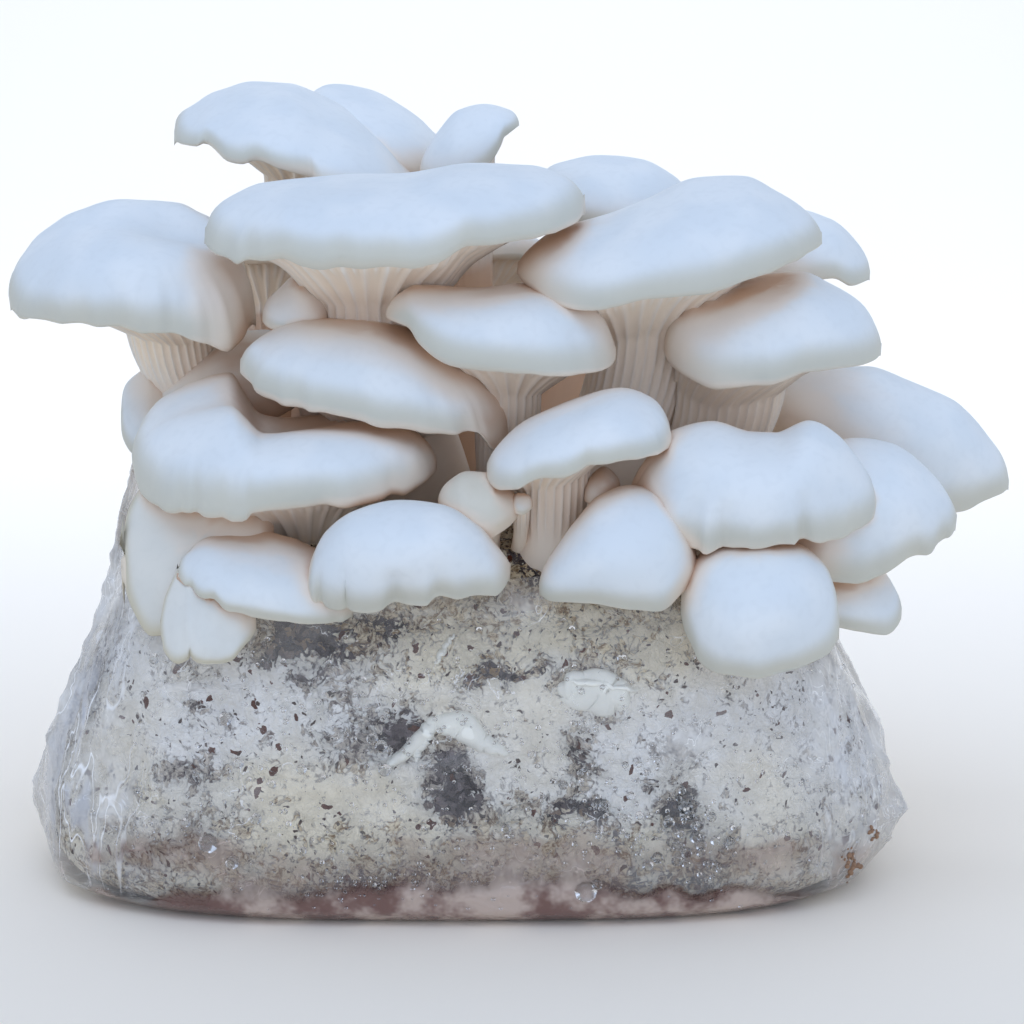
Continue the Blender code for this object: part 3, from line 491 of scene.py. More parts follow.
# %% Scalloped rims
RIMS = {
    "mushroom_top_left": [
        (-85, 212), (-83.6, 210.7), (-79.2, 210.2), (-76.7, 211.2), (-75, 210), (-70.4, 206),
        (-66, 205), (-62.6, 206), (-55.5, 203.3), (-44.4, 201)],
    "mushroom_upper_middle": [
        (-77, 181), (-74.3, 178.3), (-71, 177.2), (-68, 175.7), (-64.5, 177), (-61, 176.9),
        (-54.7, 178), (-49, 176.2), (-43.5, 175.4), (-38, 176.3), (-31, 175.2), (-24, 175.6),
        (-17, 175), (-10, 176), (-4.5, 178.6), (0, 181.3), (6, 181.2), (12.5, 182.6),
        (18, 183.4), (24, 185), (31.5, 187.8)],
    "mushroom_left": [
        (-133.5, 161), (-130, 159.3), (-125, 159), (-120, 157.7), (-115, 157.9), (-110, 157),
        (-105, 157.2), (-100, 156.2), (-95.4, 154.7), (-90.5, 155.1), (-86, 154),
        (-82.5, 152.6), (-78, 152.3), (-73, 150.7)],
    "mushroom_middle_left": [
        (-65.1, 141.2), (-63.7, 139.1), (-60.3, 137.2), (-56.6, 135.8), (-55.1, 135),
        (-52.3, 134.7), (-48.6, 133.6), (-47.2, 132.6), (-43.7, 132.1), (-37.5, 131.1),
        (-31.7, 130), (-30, 129), (-25.5, 127.6), (-17.5, 126.6), (-11.8, 125.3),
        (-7.2, 124.5), (-3.8, 124), (-0.9, 125), (2, 124.6), (4.5, 121.5)],
    "mushroom_front_left_large": [
        (-98.7, 108.1), (-97.6, 106.1), (-94.2, 103.4), (-90.6, 101.6), (-88.3, 101.7),
        (-87.2, 102.1), (-84.3, 101.4), (-82.3, 101.9), (-79.2, 100.6), (-74, 100.9),
        (-71.2, 99.2), (-68, 99.2), (-66, 101.4), (-62, 102.4), (-56.7, 103.4),
        (-50.4, 103.9), (-44.6, 104.3), (-39, 103.8), (-32.1, 104.8), (-26.4, 106.2),
        (-23.5, 107.4), (-20.3, 107.2), (-18.9, 108), (-15.7, 110.2)],
    "mushroom_front_left": [
        (-49.1, 74.8), (-47.6, 72.7), (-45.6, 73.7), (-44.6, 73.7), (-43.1, 72.1),
        (-40.1, 71.6), (-37.1, 72.6), (-35.6, 71.3), (-30, 70.5), (-27, 70.9), (-25, 72.6),
        (-23.4, 73.7), (-21.9, 73.4), (-19.4, 72.1), (-15.9, 71.8), (-12.9, 72.1),
        (-10.9, 74.2), (-8.9, 75.1), (-4, 74.4), (1.1, 75.3), (7.1, 75.8), (9.6, 77.4)],
    "mushroom_front_far_left": [
        (-86.7, 78.6), (-84.7, 77.7), (-83.6, 76.2), (-81.6, 74.8), (-79.8, 74.2),
        (-78.1, 74.2), (-75.9, 72.1), (-74.1, 70.6), (-71.2, 69.7), (-65, 69), (-62, 68),
        (-57.1, 67.2), (-51.6, 66.4), (-45.1, 66.7), (-39.5, 68.5)],
    "mushroom_front_right_large": [
        (49.2, 96.8), (50.6, 93.1), (54.8, 90.5), (61.3, 89.5), (68.1, 89.1), (70.7, 87.9),
        (74.2, 88.8), (75.9, 89.9), (78.1, 89.9), (82.7, 89.6), (84.6, 89.1), (87.2, 89.3),
        (93, 90.5), (97.9, 90.7), (99.2, 92.5), (100.2, 92.7), (102.8, 91.8),
        (105.4, 91.5), (107.3, 92.1), (111.9, 93.1), (115.7, 96)],
    "mushroom_front_right_behind": [
        (87, 86.8), (91.1, 84), (97.1, 82.2), (103, 79.9), (109.6, 79.1), (115.8, 78.7),
        (118.7, 79.4), (123.9, 81.7), (128.3, 84.8), (132.1, 87.6), (134.6, 88.3),
        (137.2, 88.1), (138.9, 88.7), (140.6, 91.5), (142.2, 93.1), (144, 95.5)],
    "mushroom_front_middle": [
        (9.6, 108.4), (14.1, 108.5), (18.1, 110.9), (22.1, 112.1), (27.2, 112.4),
        (31.7, 114.3), (35.7, 116.5), (40.3, 116.5), (44.8, 117.4), (51.6, 118.3)],
    "mushroom_front_low_right": [
        (66.4, 61.8), (69.5, 55), (75.4, 51.2), (83.3, 49.9), (86.7, 49.3), (93.2, 50.5),
        (99.2, 51.9), (104.4, 54.3), (109.6, 57.7)],
    "mushroom_left_low": [
        (-92.8, 58.9), (-90.6, 55.4), (-88.9, 54.9), (-85.8, 56), (-85.3, 57.8),
        (-83.6, 54.9), (-80.1, 53.8), (-77.6, 53.8), (-73.1, 54.9), (-71, 56.5)],
}
print(len(MUSHROOMS), "mushrooms,", len(RIMS), "of them with a scalloped rim")

# %% [markdown]
# Three things differ from mushroom to mushroom and have no line of their own: how deep the
# small pleats are that run a centimetre up from the rim, how yellow the cap is, and how far
# down the stem the folds of the gills go on.

# %% Pleats, yellow and gills of single mushrooms
LOOKS = {   # pleat depth in mm, yellow 0 to 1, share of the stem with folds
    "mushroom_top_left": (0.55, 0.0, 0.3), "mushroom_upper_middle": (0.5, 0.0, 0.42),
    "mushroom_left": (0.8, 0.0, 0.3), "mushroom_middle_left": (0.85, 0.0, 0.3),
    "mushroom_front_left_large": (0.8, 0.0, 0.4), "mushroom_front_left": (0.9, 0.0, 0.3),
    "mushroom_front_far_left": (0.6, 0.05, 0.3), "mushroom_front_right_large": (0.7, 0.0, 0.3),
    "mushroom_left_leaf": (0.25, 0.3, 0.3), "mushroom_left_low": (0.5, 0.25, 0.3),
    "mushroom_knob": (0.0, 0.45, 0.2), "mushroom_pin": (0.0, 0.25, 0.2),
    "mushroom_far_right": (0.3, 0.0, 0.4), "mushroom_middle": (0.3, 0.0, 0.5),
    "mushroom_upper_right": (0.35, 0.0, 0.5), "mushroom_right": (0.3, 0.0, 0.4),
    "mushroom_front_middle": (0.4, 0.0, 0.5), "mushroom_front_centre_right": (0.3, 0.0, 0.3),
}
print("deepest pleats:", max(look[0] for look in LOOKS.values()), "mm")

# %% [markdown]
# ## The shape of a mushroom
#
# A mushroom is one skin of rings: from the middle of the cap out to the rim, back under the
# cap to the neck, and down the stem. Oyster mushrooms have gills that run down the stem, so
# the folds of the underside simply go on past the neck and fade out.

# %% Cap, gill and stem shape
EYE_TILT = math.radians(12.0)
STEM_END = 92.0
GILL_SPACING = 2.4       # distance between gills where they reach the stem
SIDES = np.linspace(-1, 1, 241)


class Mushroom:
    def __init__(self, name, entry):
        self.__dict__.update(PLAIN)
        self.__dict__.update(entry)
        self.rim = RIMS.get(name)
        self.pleat, self.cream, self.gill_run = LOOKS.get(name, (0.3, 0.0, 0.35))
        self.left, self.right = self.upper[0][0], self.upper[-1][0]
        self.middle, self.half_width = (self.left + self.right) / 2, (self.right - self.left) / 2
        self.roll = 0.8 + 0.045 * self.half_width           # radius of the rolled rim
        self.tilt = math.radians(self.pitch)
        self.seen_tilt = self.tilt + EYE_TILT
        probe = np.arange(-7, 8) / 8
        seen = np.max(self.line(self.upper, probe) - self.line(self.lower, probe))
        slope = self.depth / 2 * math.sin(self.seen_tilt)
        rise = math.sqrt(max(seen * seen - 2 * seen * slope, 0.0)) / math.cos(self.seen_tilt)
        self.height = min(max(rise, 0.3 * self.half_width), self.stout * self.half_width)
        reach = np.sqrt(np.maximum(1 - SIDES ** 2, 0))
        rows = np.linspace(-1, 1, 61)[:, None] * reach[None, :]
        across = np.repeat(SIDES[None, :], 61, 0)
        seen = (self.crown(across, rows) * math.cos(self.seen_tilt)
                + rows * self.depth / 2 * math.sin(self.seen_tilt))
        self.low, self.high = seen.min(0), seen.max(0)

    def line(self, points, side):
        """Height of an outline, read over the angle whose sine is the side."""
        turns = [math.asin(max(-1, min(1, (x - self.middle) / self.half_width)))
                 for x, _ in points]
        return curve(np.arcsin(np.clip(side, -1, 1)), turns, [z for _, z in points])

    def crown(self, u, v):
        """Height of the cap's top above its rim."""
        rho = np.minimum(1.0, np.hypot(u, v))
        dome = self.height * (1 - rho ** 2.6) ** 0.55
        at_u, at_v = self.bowl_at
        sunk = np.exp(-((u - at_u) ** 2 + (v - at_v) ** 2) / 0.22) * (1 - rho ** 4)
        return dome - self.bowl * sunk + self.raised(u, v)

    def raised(self, u, v):
        """How far the back of the cap, rim included, stands up."""
        return self.lift * smooth(v, 0.0, 0.9) * np.maximum(0, 1 - self.lean * u)

    def scallop(self, side):
        """How far the scalloped rim lies above the plain one."""
        if not self.rim:
            return np.zeros_like(side)
        x = self.middle + self.half_width * side
        xs, zs = [p[0] for p in self.rim], [p[1] for p in self.rim]
        inside = smooth(x, xs[0] - 1, xs[0] + 2) * (1 - smooth(x, xs[-1] - 2, xs[-1] + 1))
        return (curve(x, xs, zs) - self.line(self.lower, side)) * inside

    def place(self, u, v, above, under=0.0, edge=0.0, rise=0.0):
        """World points of points of the plain cap, fitted to the outlines. edge is 1 at the
        rim, where the scallops are, under grows to 1 where the gills reach the stem, and
        rise is how far a point of the rolled rim stands above the rim's lowest line."""
        side = np.clip(u, -1, 1)
        low, high = np.interp(side, SIDES, self.low), np.interp(side, SIDES, self.high)
        lower = self.line(self.lower, side)
        thin = 0.3 + 0.7 * np.sqrt(np.maximum(1 - side ** 2, 0))
        tall = np.maximum(self.line(self.upper, side) - lower - self.roll * thin, 0.2)
        scale = tall / np.maximum(high - low, 0.5)
        flat = v * self.depth / 2 * math.sin(self.seen_tilt)
        x = self.middle + self.half_width * u
        z = lower + (flat - low) * scale
        z = z + above * math.cos(self.seen_tilt) * blend(scale, 1.0, under) + rise * thin
        back = (v + 1) * self.depth / 2 * math.cos(self.tilt) - above * math.sin(self.tilt)
        notch = self.scallop(side) * edge * smooth(-v, -0.1, 0.5)
        y = self.front + back + np.maximum(notch, 0) * 1.2
        return self.slide(x, z + notch, y)

    def slide(self, x, z, y):
        """Slide points of the drawing plane along their lines of sight to the depth y."""
        share = (y - EYE[1]) / (0 - EYE[1])
        turn = -1 if self.turned else 1
        return np.stack([turn * (EYE[0] + (x - EYE[0]) * share), turn * y,
                         EYE[2] + (z - EYE[2]) * share], axis=-1)


one = Mushroom("mushroom_left", MUSHROOMS["mushroom_left"])
print("the left cap is", one.half_width * 2, "mm wide and", round(one.height), "mm high")

# %% [markdown]
# A ring of gill folds is a wave. Each fold has six points: one on the long gill, one on the
# short gill that starts halfway, and four on the slopes between. Short gills die out before
# the neck, as they do on a real cap, so the folds don't crowd there.

# %% Rings of one mushroom
ROLL_TURNS = np.radians([30, 60, 90, 120, 145])      # places on the roll of a cap's rim


def gill_wave(count, share, strength):
    """Height of the gill folds, 0 to 1, round a ring that lies a share of the way in."""
    short = float(1 - smooth(share, 0.35, 0.7))
    one_fold = np.array([1.0, 0.3, 0.12 * short, short, 0.12 * short, 0.3])
    return np.tile(one_fold, count) * np.repeat(strength, 6)


def rings_of(m, folds, crown_rings, gill_rings, stem_rings, rng):
    """Grid of points from the crown's middle to the stem's foot, with what each ring is."""
    count = 6 * folds
    index = np.arange(count)
    jitter = np.array([noise.noise(Vector((k / 9.0, m.left, 0))) for k in index])
    jitter *= 0.9 * np.minimum(1, np.minimum(index, count - index) / 12)
    turn = 2 * np.pi * (index + jitter) / count
    s, c = np.sin(turn), -np.cos(turn)
    rows, kinds = [], []

    for k in range(1, crown_rings + 1):                    # the crown, out to the rim
        rho = math.sin(math.pi / 2 * k / crown_rings)
        u, v = rho * s, rho * c
        rows.append(m.place(u, v, m.crown(u, v), edge=smooth(rho, 0.72, 1.0), rise=m.roll))
        kinds.append((0.0, 0.0, float(smooth(rho, 0.86, 1.0)), 2 - 1.5 * rho))

    for phi in ROLL_TURNS:                                 # the roll of the rim
        inward = m.roll * (1 - math.cos(phi))
        u, v = s * (1 - inward / m.half_width), c * (1 - 2 * inward / m.depth)
        rise = m.roll * (1 - math.sin(phi))
        rows.append(m.place(u, v, m.raised(u, v), edge=1.0, rise=rise))
        kinds.append((0.0, 0.15, 1.0, 0.5))
    u0, v0 = u, v

    neck_u, neck_v = m.neck
    neck_r = max(0.2, 1.15 * m.stem / m.half_width)
    drop = m.gill_drop * 2 * m.half_width
    for k in range(1, gill_rings + 1):                     # the underside, in to the neck
        share = (k / gill_rings) ** 1.15
        u = blend(u0, neck_u + neck_r * s, share)
        v = blend(v0, neck_v + neck_r * c, share)
        hollow = 0.05 * m.half_width * math.sin(math.pi * min(1, share / 0.4))
        above = (hollow - 0.02 * m.half_width * share - drop * share ** 1.5
                 + m.raised(u, v))
        rows.append(m.place(u, v, above, share, max(0.0, 1 - 4 * share), rise * (1 - share)))
        kinds.append((float(smooth(share, 0.0, 0.14)), 1.0, float(1 - smooth(share, 0, 0.1)),
                      0.5 - 0.5 * share))

    rows += stem_rows(m, rows[-1], turn, stem_rings)
    for k in range(1, stem_rings + 1):
        share = k / stem_rings
        kinds.append((float(1 - smooth(share, 0.5 * m.gill_run, m.gill_run)),
                      float(1 - 0.45 * smooth(share, 0.0, m.gill_run)), 0.0, -share))
    points, kinds = np.array(rows), np.array(kinds)

    ahead = np.roll(points, -1, 1) - np.roll(points, 1, 1)
    inward = np.gradient(points, axis=0)
    normal = np.cross(inward, ahead)
    normal /= np.maximum(np.linalg.norm(normal, axis=2, keepdims=True), 1e-9)
    if normal[0, :, 2].mean() < 0:
        normal = -normal
    strength = rng.uniform(0.65, 1.15, folds)
    fold = np.zeros(points.shape[:2])
    first_gill = crown_rings + len(ROLL_TURNS)
    for row in range(first_gill, len(rows)):
        share = min(1.0, (row - first_gill + 1) / gill_rings)
        spacing = np.linalg.norm(ahead[row], axis=1).sum() / 2 / folds
        wave = gill_wave(folds, share, strength)
        fold[row] = wave * kinds[row, 0]
        points[row] += normal[row] * (wave * kinds[row, 0] * min(1.1, 0.34 * spacing))[:, None]

    rim = points[crown_rings - 1]                          # pleats run up from the rim
    pleats = 0.6 * wobble(rim, 5.5, 61) + 0.7 * (0.6 - np.abs(wobble(rim, 9, 62)))
    pleats *= 0.6 + 0.5 * wobble(rim, 28, 63)
    for row in range(first_gill):
        rho = math.sin(math.pi / 2 * (row + 1) / crown_rings) if row < crown_rings else 1.0
        deep = m.pleat * float(smooth(rho, 0.74, 0.97))
        points[row] += normal[row] * (deep * pleats)[:, None]
    return points, normal, kinds, fold, turn


def stem_rows(m, neck, turn, count):
    """The stem starts as the last gill ring and becomes round on its curved way down."""
    way = -1 if m.turned else 1
    top = neck.mean(0)
    foot = np.array([way * m.foot[0], way * m.foot[1], STEM_END])
    reach = np.linalg.norm(foot - top) / 3
    bend = m.tilt + 0.3
    start = np.array([0, way * math.sin(bend), -math.cos(bend)]) * reach
    end = (foot - top) / np.linalg.norm(foot - top) + [0, 0, -0.8]
    end = end / np.linalg.norm(end) * reach
    neck_size = np.linalg.norm(neck - top, axis=1).mean()
    rows = []
    for share in np.arange(1, count + 1) / count:
        rest = 1 - share
        middle = (top * rest ** 3 + (top + start) * 3 * rest ** 2 * share
                  + (foot - end) * 3 * rest * share ** 2 + foot * share ** 3)
        ahead = (start * rest ** 2 + (foot - end - top - start) * 2 * rest * share
                 + end * share ** 2)
        ahead /= np.linalg.norm(ahead)
        across = np.array([way, 0, 0]) - ahead * ahead[0] * way
        across /= np.linalg.norm(across)
        front = np.cross(ahead, across)
        swell = blend(1.0, m.base, float(smooth(share, 0.4, 1.0)))
        size = blend(neck_size, m.stem, float(smooth(share, 0.0, 0.45))) * swell
        bent = (neck - top) * (size / neck_size)
        ring = (across * np.sin(turn)[:, None] + front * np.cos(turn)[:, None]) * size
        rows.append(middle + blend(bent, ring, float(smooth(share, 0.0, 0.6))))
    return rows


# %% [markdown]
# The skin then gets what no outline shows: slow swells over the whole cap, and a little
# unevenness a few millimetres across. It also carries values for the material: how much of
# a spot is gill, how deep it lies in a fold, how near it is to the rim, how shut in it is,
# how creamy the whole cap is, and its place along the fibres, which run from the cap's
# middle to the rim and down the stem.

# %% One mushroom's mesh
def store(mesh, name, values):
    layer = mesh.attributes.new(name, "FLOAT", "POINT")
    layer.data.foreach_set("value", np.asarray(values, np.float32))


def make_mesh(name, points, faces, look):
    """Object from points in millimetres."""
    mesh = bpy.data.meshes.new(name)
    mesh.from_pydata((np.asarray(points) * MM).tolist(), [], faces)
    mesh.materials.append(look)
    for face in mesh.polygons:
        face.use_smooth = True
    made = bpy.data.objects.new(name, mesh)
    scene.collection.objects.link(made)
    return made


def grid_faces(rows, sides, first=0, flip=False):
    """Quads between rings of equal size, as point numbers."""
    k = np.arange(sides)
    after = (k + 1) % sides
    base = first + sides * np.arange(rows - 1)[:, None]
    quads = np.stack([base + k, base + sides + k, base + sides + after, base + after], -1)
    quads = quads.reshape(-1, 4)
    return (quads[:, ::-1] if flip else quads).tolist()


WIDE_CAP, TINY_CAP = 54, 14      # caps wider or narrower than this get more or fewer rings


def grow(name, entry, seed):
    """Points of one mushroom, with all that its mesh needs."""
    m = Mushroom(name, entry)
    rng = np.random.default_rng(seed)
    large = 2 * m.half_width > WIDE_CAP
    tiny = 2 * m.half_width < TINY_CAP
    neck = 2 * math.pi * max(1.15 * m.stem, 0.2 * m.half_width)
    folds = int(np.clip(round(neck / GILL_SPACING), 12, 34))
    counts = (26, 20, 20) if large else (8, 5, 8) if tiny else (18, 14, 16)
    points, normal, kinds, fold, turn = rings_of(m, folds, *counts, rng)
    flat = points.reshape(-1, 3)
    calm = np.repeat(np.clip(1 - kinds[:, 0] * 0.8, 0.2, 1), points.shape[1])
    size = min(1.0, m.half_width / 30)
    swell = wobble(flat, 30 * size + 6, seed) * 1.0 * size
    swell += wobble(flat, 11 * size + 3, seed + 50) * 0.28 * size
    points = points + normal * (swell * calm).reshape(points.shape[:2])[..., None]
    return m, points, normal, kinds, fold, turn


def in_the_dark(points):
    """1 in the middle of the cluster, where stems stand out of the light, else 0."""
    x, y, z = points.T
    inside = smooth(y, -18, 12) * (1 - smooth(y, 26, 56))
    return inside * (1 - smooth(abs(x), 56, 96)) * (1 - smooth(z, 168, 192))


def make_mushroom(name, grown, nook_shade):
    """The mesh of a grown mushroom, with its values for the material."""
    m, points, _, kinds, fold, turn = grown
    rows, sides = points.shape[:2]
    flat = points.reshape(-1, 3)
    tops = points[0].mean(0)
    tips = flat[-sides:].mean(0) + [0, 0, -1]
    every = np.vstack([flat, tops, tips])
    faces = grid_faces(rows, sides)
    faces += [[rows * sides, k, (k + 1) % sides] for k in range(sides)]
    last = (rows - 1) * sides
    faces += [[rows * sides + 1, last + (k + 1) % sides, last + k] for k in range(sides)]
    made = make_mesh(name.replace("mushroom", "oyster"), every, faces, FLESH)
    mesh = made.data

    def ends(values, crown, foot):
        """Values of all rings, then those of the crown's middle and of the foot."""
        return np.append(values, [crown, foot])

    store(mesh, "rim", ends(np.repeat(kinds[:, 2], sides), 0, 0))
    store(mesh, "fold", ends(fold.ravel(), 0, 0))
    # painted shade: stems in the middle of the cluster count as fully shut in and lose their gill
    # colour, so they get the darkest warm shade
    dim_stem = np.repeat(kinds[:, 3] < 0, sides) * in_the_dark(flat)
    nook_shade = np.maximum(nook_shade.ravel(), dim_stem)
    store(mesh, "nook_shade", ends(nook_shade, nook_shade[:sides].mean(), 1))
    store(mesh, "gills", ends(np.repeat(kinds[:, 1], sides) * (1 - dim_stem), 0, 0))
    store(mesh, "along", ends(np.repeat(kinds[:, 3], sides), 2, -1))
    store(mesh, "turn_x", ends(np.tile(np.cos(turn), rows), 0, 0))
    store(mesh, "turn_y", ends(np.tile(np.sin(turn), rows), 0, 0))
    store(mesh, "cream", np.full(len(every), m.cream))
    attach(made, "root")
    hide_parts(name)
    return made


# %% [markdown]
# Flesh that lies deep between other caps looks warmer and darker than flesh in the open:
# light reaches it only by way of other flesh. The material paints this as shade, warm and
# darker, by how shut in a point is. That can be measured: of the directions that leave the
# surface, the share that soon meets another piece.

# %% How shut in each point is, for the painted shade
NOOK_REACH = 62.0        # a piece further away than this doesn't shade
ROW_STEP, COLUMN_STEP = 2, 3


def even_directions(count):
    """Directions spread evenly over a sphere."""
    k = np.arange(count) + 0.5
    turn = k * math.pi * (1 + 5 ** 0.5)
    z = 1 - 2 * k / count
    flat = np.sqrt(1 - z * z)
    return np.stack([flat * np.cos(turn), flat * np.sin(turn), z], -1)


def coarse(grid):
    """Every second ring and every third column of a grid of points, with the last ring."""
    rings = list(range(0, grid.shape[0] - 1, ROW_STEP)) + [grid.shape[0] - 1]
    return rings, grid[rings][:, ::COLUMN_STEP]


def shade_tree(all_grown):
    """Search tree of all mushrooms and the block, for rays."""
    points, faces = [], []
    for grown in all_grown:
        _, grid = coarse(grown[1])
        faces += grid_faces(grid.shape[0], grid.shape[1], sum(len(p) for p in points))
        points.append(grid.reshape(-1, 3))
    top = [(x, y, 100.0) for x in (-100, 100) for y in (-62, 62)]
    faces.append([sum(len(p) for p in points) + k for k in (0, 1, 3, 2)])
    points.append(np.array(top))
    return BVHTree.FromPolygons(np.vstack(points).tolist(), faces)


def nook_of(grown, tree, ways):
    grid, normal = grown[1:3]
    rings, start = coarse(grid)
    _, up = coarse(normal)
    open_ways = [Vector(way) for way in ways]
    start = start + up * 2.0
    facing = np.clip(np.einsum("rcx,wx->rcw", up, ways), 0, 1)
    shut = np.zeros(start.shape[:2])
    for r in range(start.shape[0]):
        for c in range(start.shape[1]):
            origin = Vector(start[r, c])
            for w in np.nonzero(facing[r, c] > 0.05)[0]:
                near = tree.ray_cast(origin, open_ways[w], NOOK_REACH)[3]
                if near is not None:
                    shut[r, c] += facing[r, c, w] * (1 - (near / NOOK_REACH) ** 2)
    shut /= np.maximum(facing.sum(2), 0.1)
    shut = (shut + np.roll(shut, 1, 1) + np.roll(shut, -1, 1)) / 3
    columns = np.arange(grid.shape[1])
    known = np.append(columns[::COLUMN_STEP], grid.shape[1])
    wide = np.array([np.interp(columns, known, np.append(row, row[0])) for row in shut])
    every = np.arange(grid.shape[0])
    return np.array([np.interp(every, rings, wide[:, k]) for k in columns]).T


print(len(even_directions(26)), "directions, first", even_directions(26)[0].round(2))

# %% [markdown]
# ## Mushroom flesh
#
# Fresh oyster mushroom flesh is firm and white with a hint of cream. Light goes a few
# millimetres into it before it comes out again, red furthest. Principled's subsurface would
# draw that, but here it changes little that shows and takes a tenth of the render or more,
# so it is left out, and a warm, darker colour painted on shut-in flesh stands for it: painted
# shade. The skin is matt like kid leather, roughness about 0.55, with an IOR near that of
# water-rich tissue, 1.4. Gills are creamier than the cap. The bottoms of the folds and the
# rim are painted darker, as painted shade. Fine fibres run along the growth, drawn about
# 0.8 mm wide so that they show.

# %% Flesh material
def attribute(tree, name):
    return add(tree, "ShaderNodeAttribute", attribute_name=name).outputs["Fac"]


def flesh_material():
    made, tree, out = new_material("fresh_oyster_mushroom_flesh")
    place = add(tree, "ShaderNodeTexCoord").outputs["Object"]
    clouds = add(tree, "ShaderNodeTexNoise",
                 {"Vector": place, "Scale": 1 / 0.016, "Detail": 1.0}).outputs["Fac"]
    freckle = add(tree, "ShaderNodeTexNoise",
                  {"Vector": place, "Scale": 1 / 0.0022, "Detail": 0.0}).outputs["Fac"]
    grain = add(tree, "ShaderNodeCombineXYZ",
                {"X": sums(tree, "MULTIPLY", attribute(tree, "turn_x"), 26.0),
                 "Y": sums(tree, "MULTIPLY", attribute(tree, "turn_y"), 26.0),
                 "Z": sums(tree, "MULTIPLY", attribute(tree, "along"), 3.0)}).outputs[0]
    fibre = add(tree, "ShaderNodeTexNoise", {"Vector": grain, "Scale": 1.0, "Detail": 1.0}
                ).outputs["Fac"]

    cap = mix(tree, step(tree, clouds, 0.35, 0.68), linear("#dfe5e8"), linear("#e7ebec"))
    cap = mix(tree, sums(tree, "MULTIPLY", step(tree, freckle, 0.5, 0.75), 0.12),
              cap, linear("#d0d5d7"))
    # painted shade: the rim is mixed towards a darker grey-beige
    edge = sums(tree, "MULTIPLY", sums(tree, "POWER", attribute(tree, "rim"), 2.0), 0.75)
    cap = mix(tree, edge, cap, linear("#c5c1ae"))
    cap = mix(tree, attribute(tree, "cream"), cap, linear("#cdb784"))
    # painted shade: the bottoms of the gill folds are a darker cream than their ridges
    gill = mix(tree, attribute(tree, "fold"), linear("#f4e2c9"), linear("#fffaf1"))
    under = attribute(tree, "gills")
    gill = mix(tree, sums(tree, "MULTIPLY", step(tree, fibre, 0.45, 0.7),
                          sums(tree, "MULTIPLY", under, 0.35)), gill, linear("#f0dcc4"))
    colour = mix(tree, under, cap, gill)
    # painted shade: shut-in flesh is mixed towards warm cream, and the most shut-in flesh away
    # from the gills towards a darker tan
    nook_shade = attribute(tree, "nook_shade")
    colour = mix(tree, step(tree, nook_shade, 0.1, 0.6), colour,
                 mix(tree, 0.7, colour, linear("#f0dfcd")))
    deep = sums(tree, "MULTIPLY", step(tree, nook_shade, 0.55, 1.0), sums(
        tree, "SUBTRACT", 1.0, under))
    colour = mix(tree, deep, colour, linear("#cfa98b"))

    rough = add(tree, "ShaderNodeMapRange", {"Value": clouds, "To Min": 0.48, "To Max": 0.62}
                ).outputs[0]
    skin = add(tree, "ShaderNodeBsdfPrincipled",
               {"Base Color": colour, "Roughness": rough, "IOR": 1.4})
    tree.links.new(skin.outputs[0], out.inputs[0])
    return made


FLESH = flesh_material()
everything = {name: grow(name, entry, number + 1)
              for number, (name, entry) in enumerate(MUSHROOMS.items())}
shades = shade_tree(everything.values())
ways = even_directions(26)
shut_in = 0.0
for name, grown in everything.items():
    nook_shade = nook_of(grown, shades, ways)
    make_mushroom(name, grown, nook_shade)
    shut_in += nook_shade.mean() / len(everything)
print(len(everything), "mushrooms; a point of their skins is on average shut in by",
      round(shut_in, 2))

# %% [markdown]
# ## The block
#
# The block took its shape from the bag that it was pressed into, so bag and block share one
# outline: a rounded box that is widest near the ground. Its top is a low free dome, brown
# and crumbly where the film has been opened. At the two ends the outline lies a few
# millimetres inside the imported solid's.

# %% Bag outline
LEVELS = np.array([                      # height, left, right, front, back
    (0.0, -119, 113, -72, 60), (5.0, -126, 121, -77, 66), (22.0, -128, 126, -77, 71),
    (45.0, -123, 119, -75, 72), (68.0, -113, 108, -75, 72), (84.0, -106, 102, -73, 70),
    (124.0, -97, 96, -66, 64)])
CORNER = 3.2                             # 2 is an ellipse, larger is squarer
BLOCK_TOP, SHOULDER = 112.0, 84.0
INSET = 1.3                              # film, and the gap behind it


def bag_point(turn, height, inset=0.0):
    """Points of the bag's outline; inset is how far inside the film they lie."""
    left, right, front, back = [curve(height, LEVELS[:, 0], LEVELS[:, k]) for k in (1, 2, 3, 4)]
    c, s = np.cos(turn), np.sin(turn)
    x = (left + right) / 2 + ((right - left) / 2 - inset) * np.sign(c) * abs(c) ** (2 / CORNER)
    y = (front + back) / 2 + ((back - front) / 2 - inset) * np.sign(s) * abs(s) ** (2 / CORNER)
    return np.stack(np.broadcast_arrays(x, y, height), -1)


def even_turns(count):
    """Angles that space points evenly round the outline, whose corners bunch them up."""
    fine = np.linspace(0, 2 * np.pi, 4001)
    ring = bag_point(fine, np.full(4001, 40.0))
    way = np.append(0, np.cumsum(np.linalg.norm(np.diff(ring, axis=0), axis=1)))
    return np.interp(np.arange(count) / count * way[-1], way, fine)


print("round the bag is", round(np.linalg.norm(np.diff(
    bag_point(np.linspace(0, 2 * np.pi, 999), np.full(999, 40.0)), axis=0), axis=1).sum()), "mm")

# %% [markdown]
# Mycelium grows in patches. Where it is thick it is felt, white and slightly raised, with a
# frayed edge. Where it is thin the wet sawdust shows grey, and where it is missing the bare
# chips are dark brown. The patches below are what can be seen through the front of the
# film: middle, half size, then how much felt, dark and warm cream each one adds. The back
# of the block is not seen and gets the same patches the other way round.

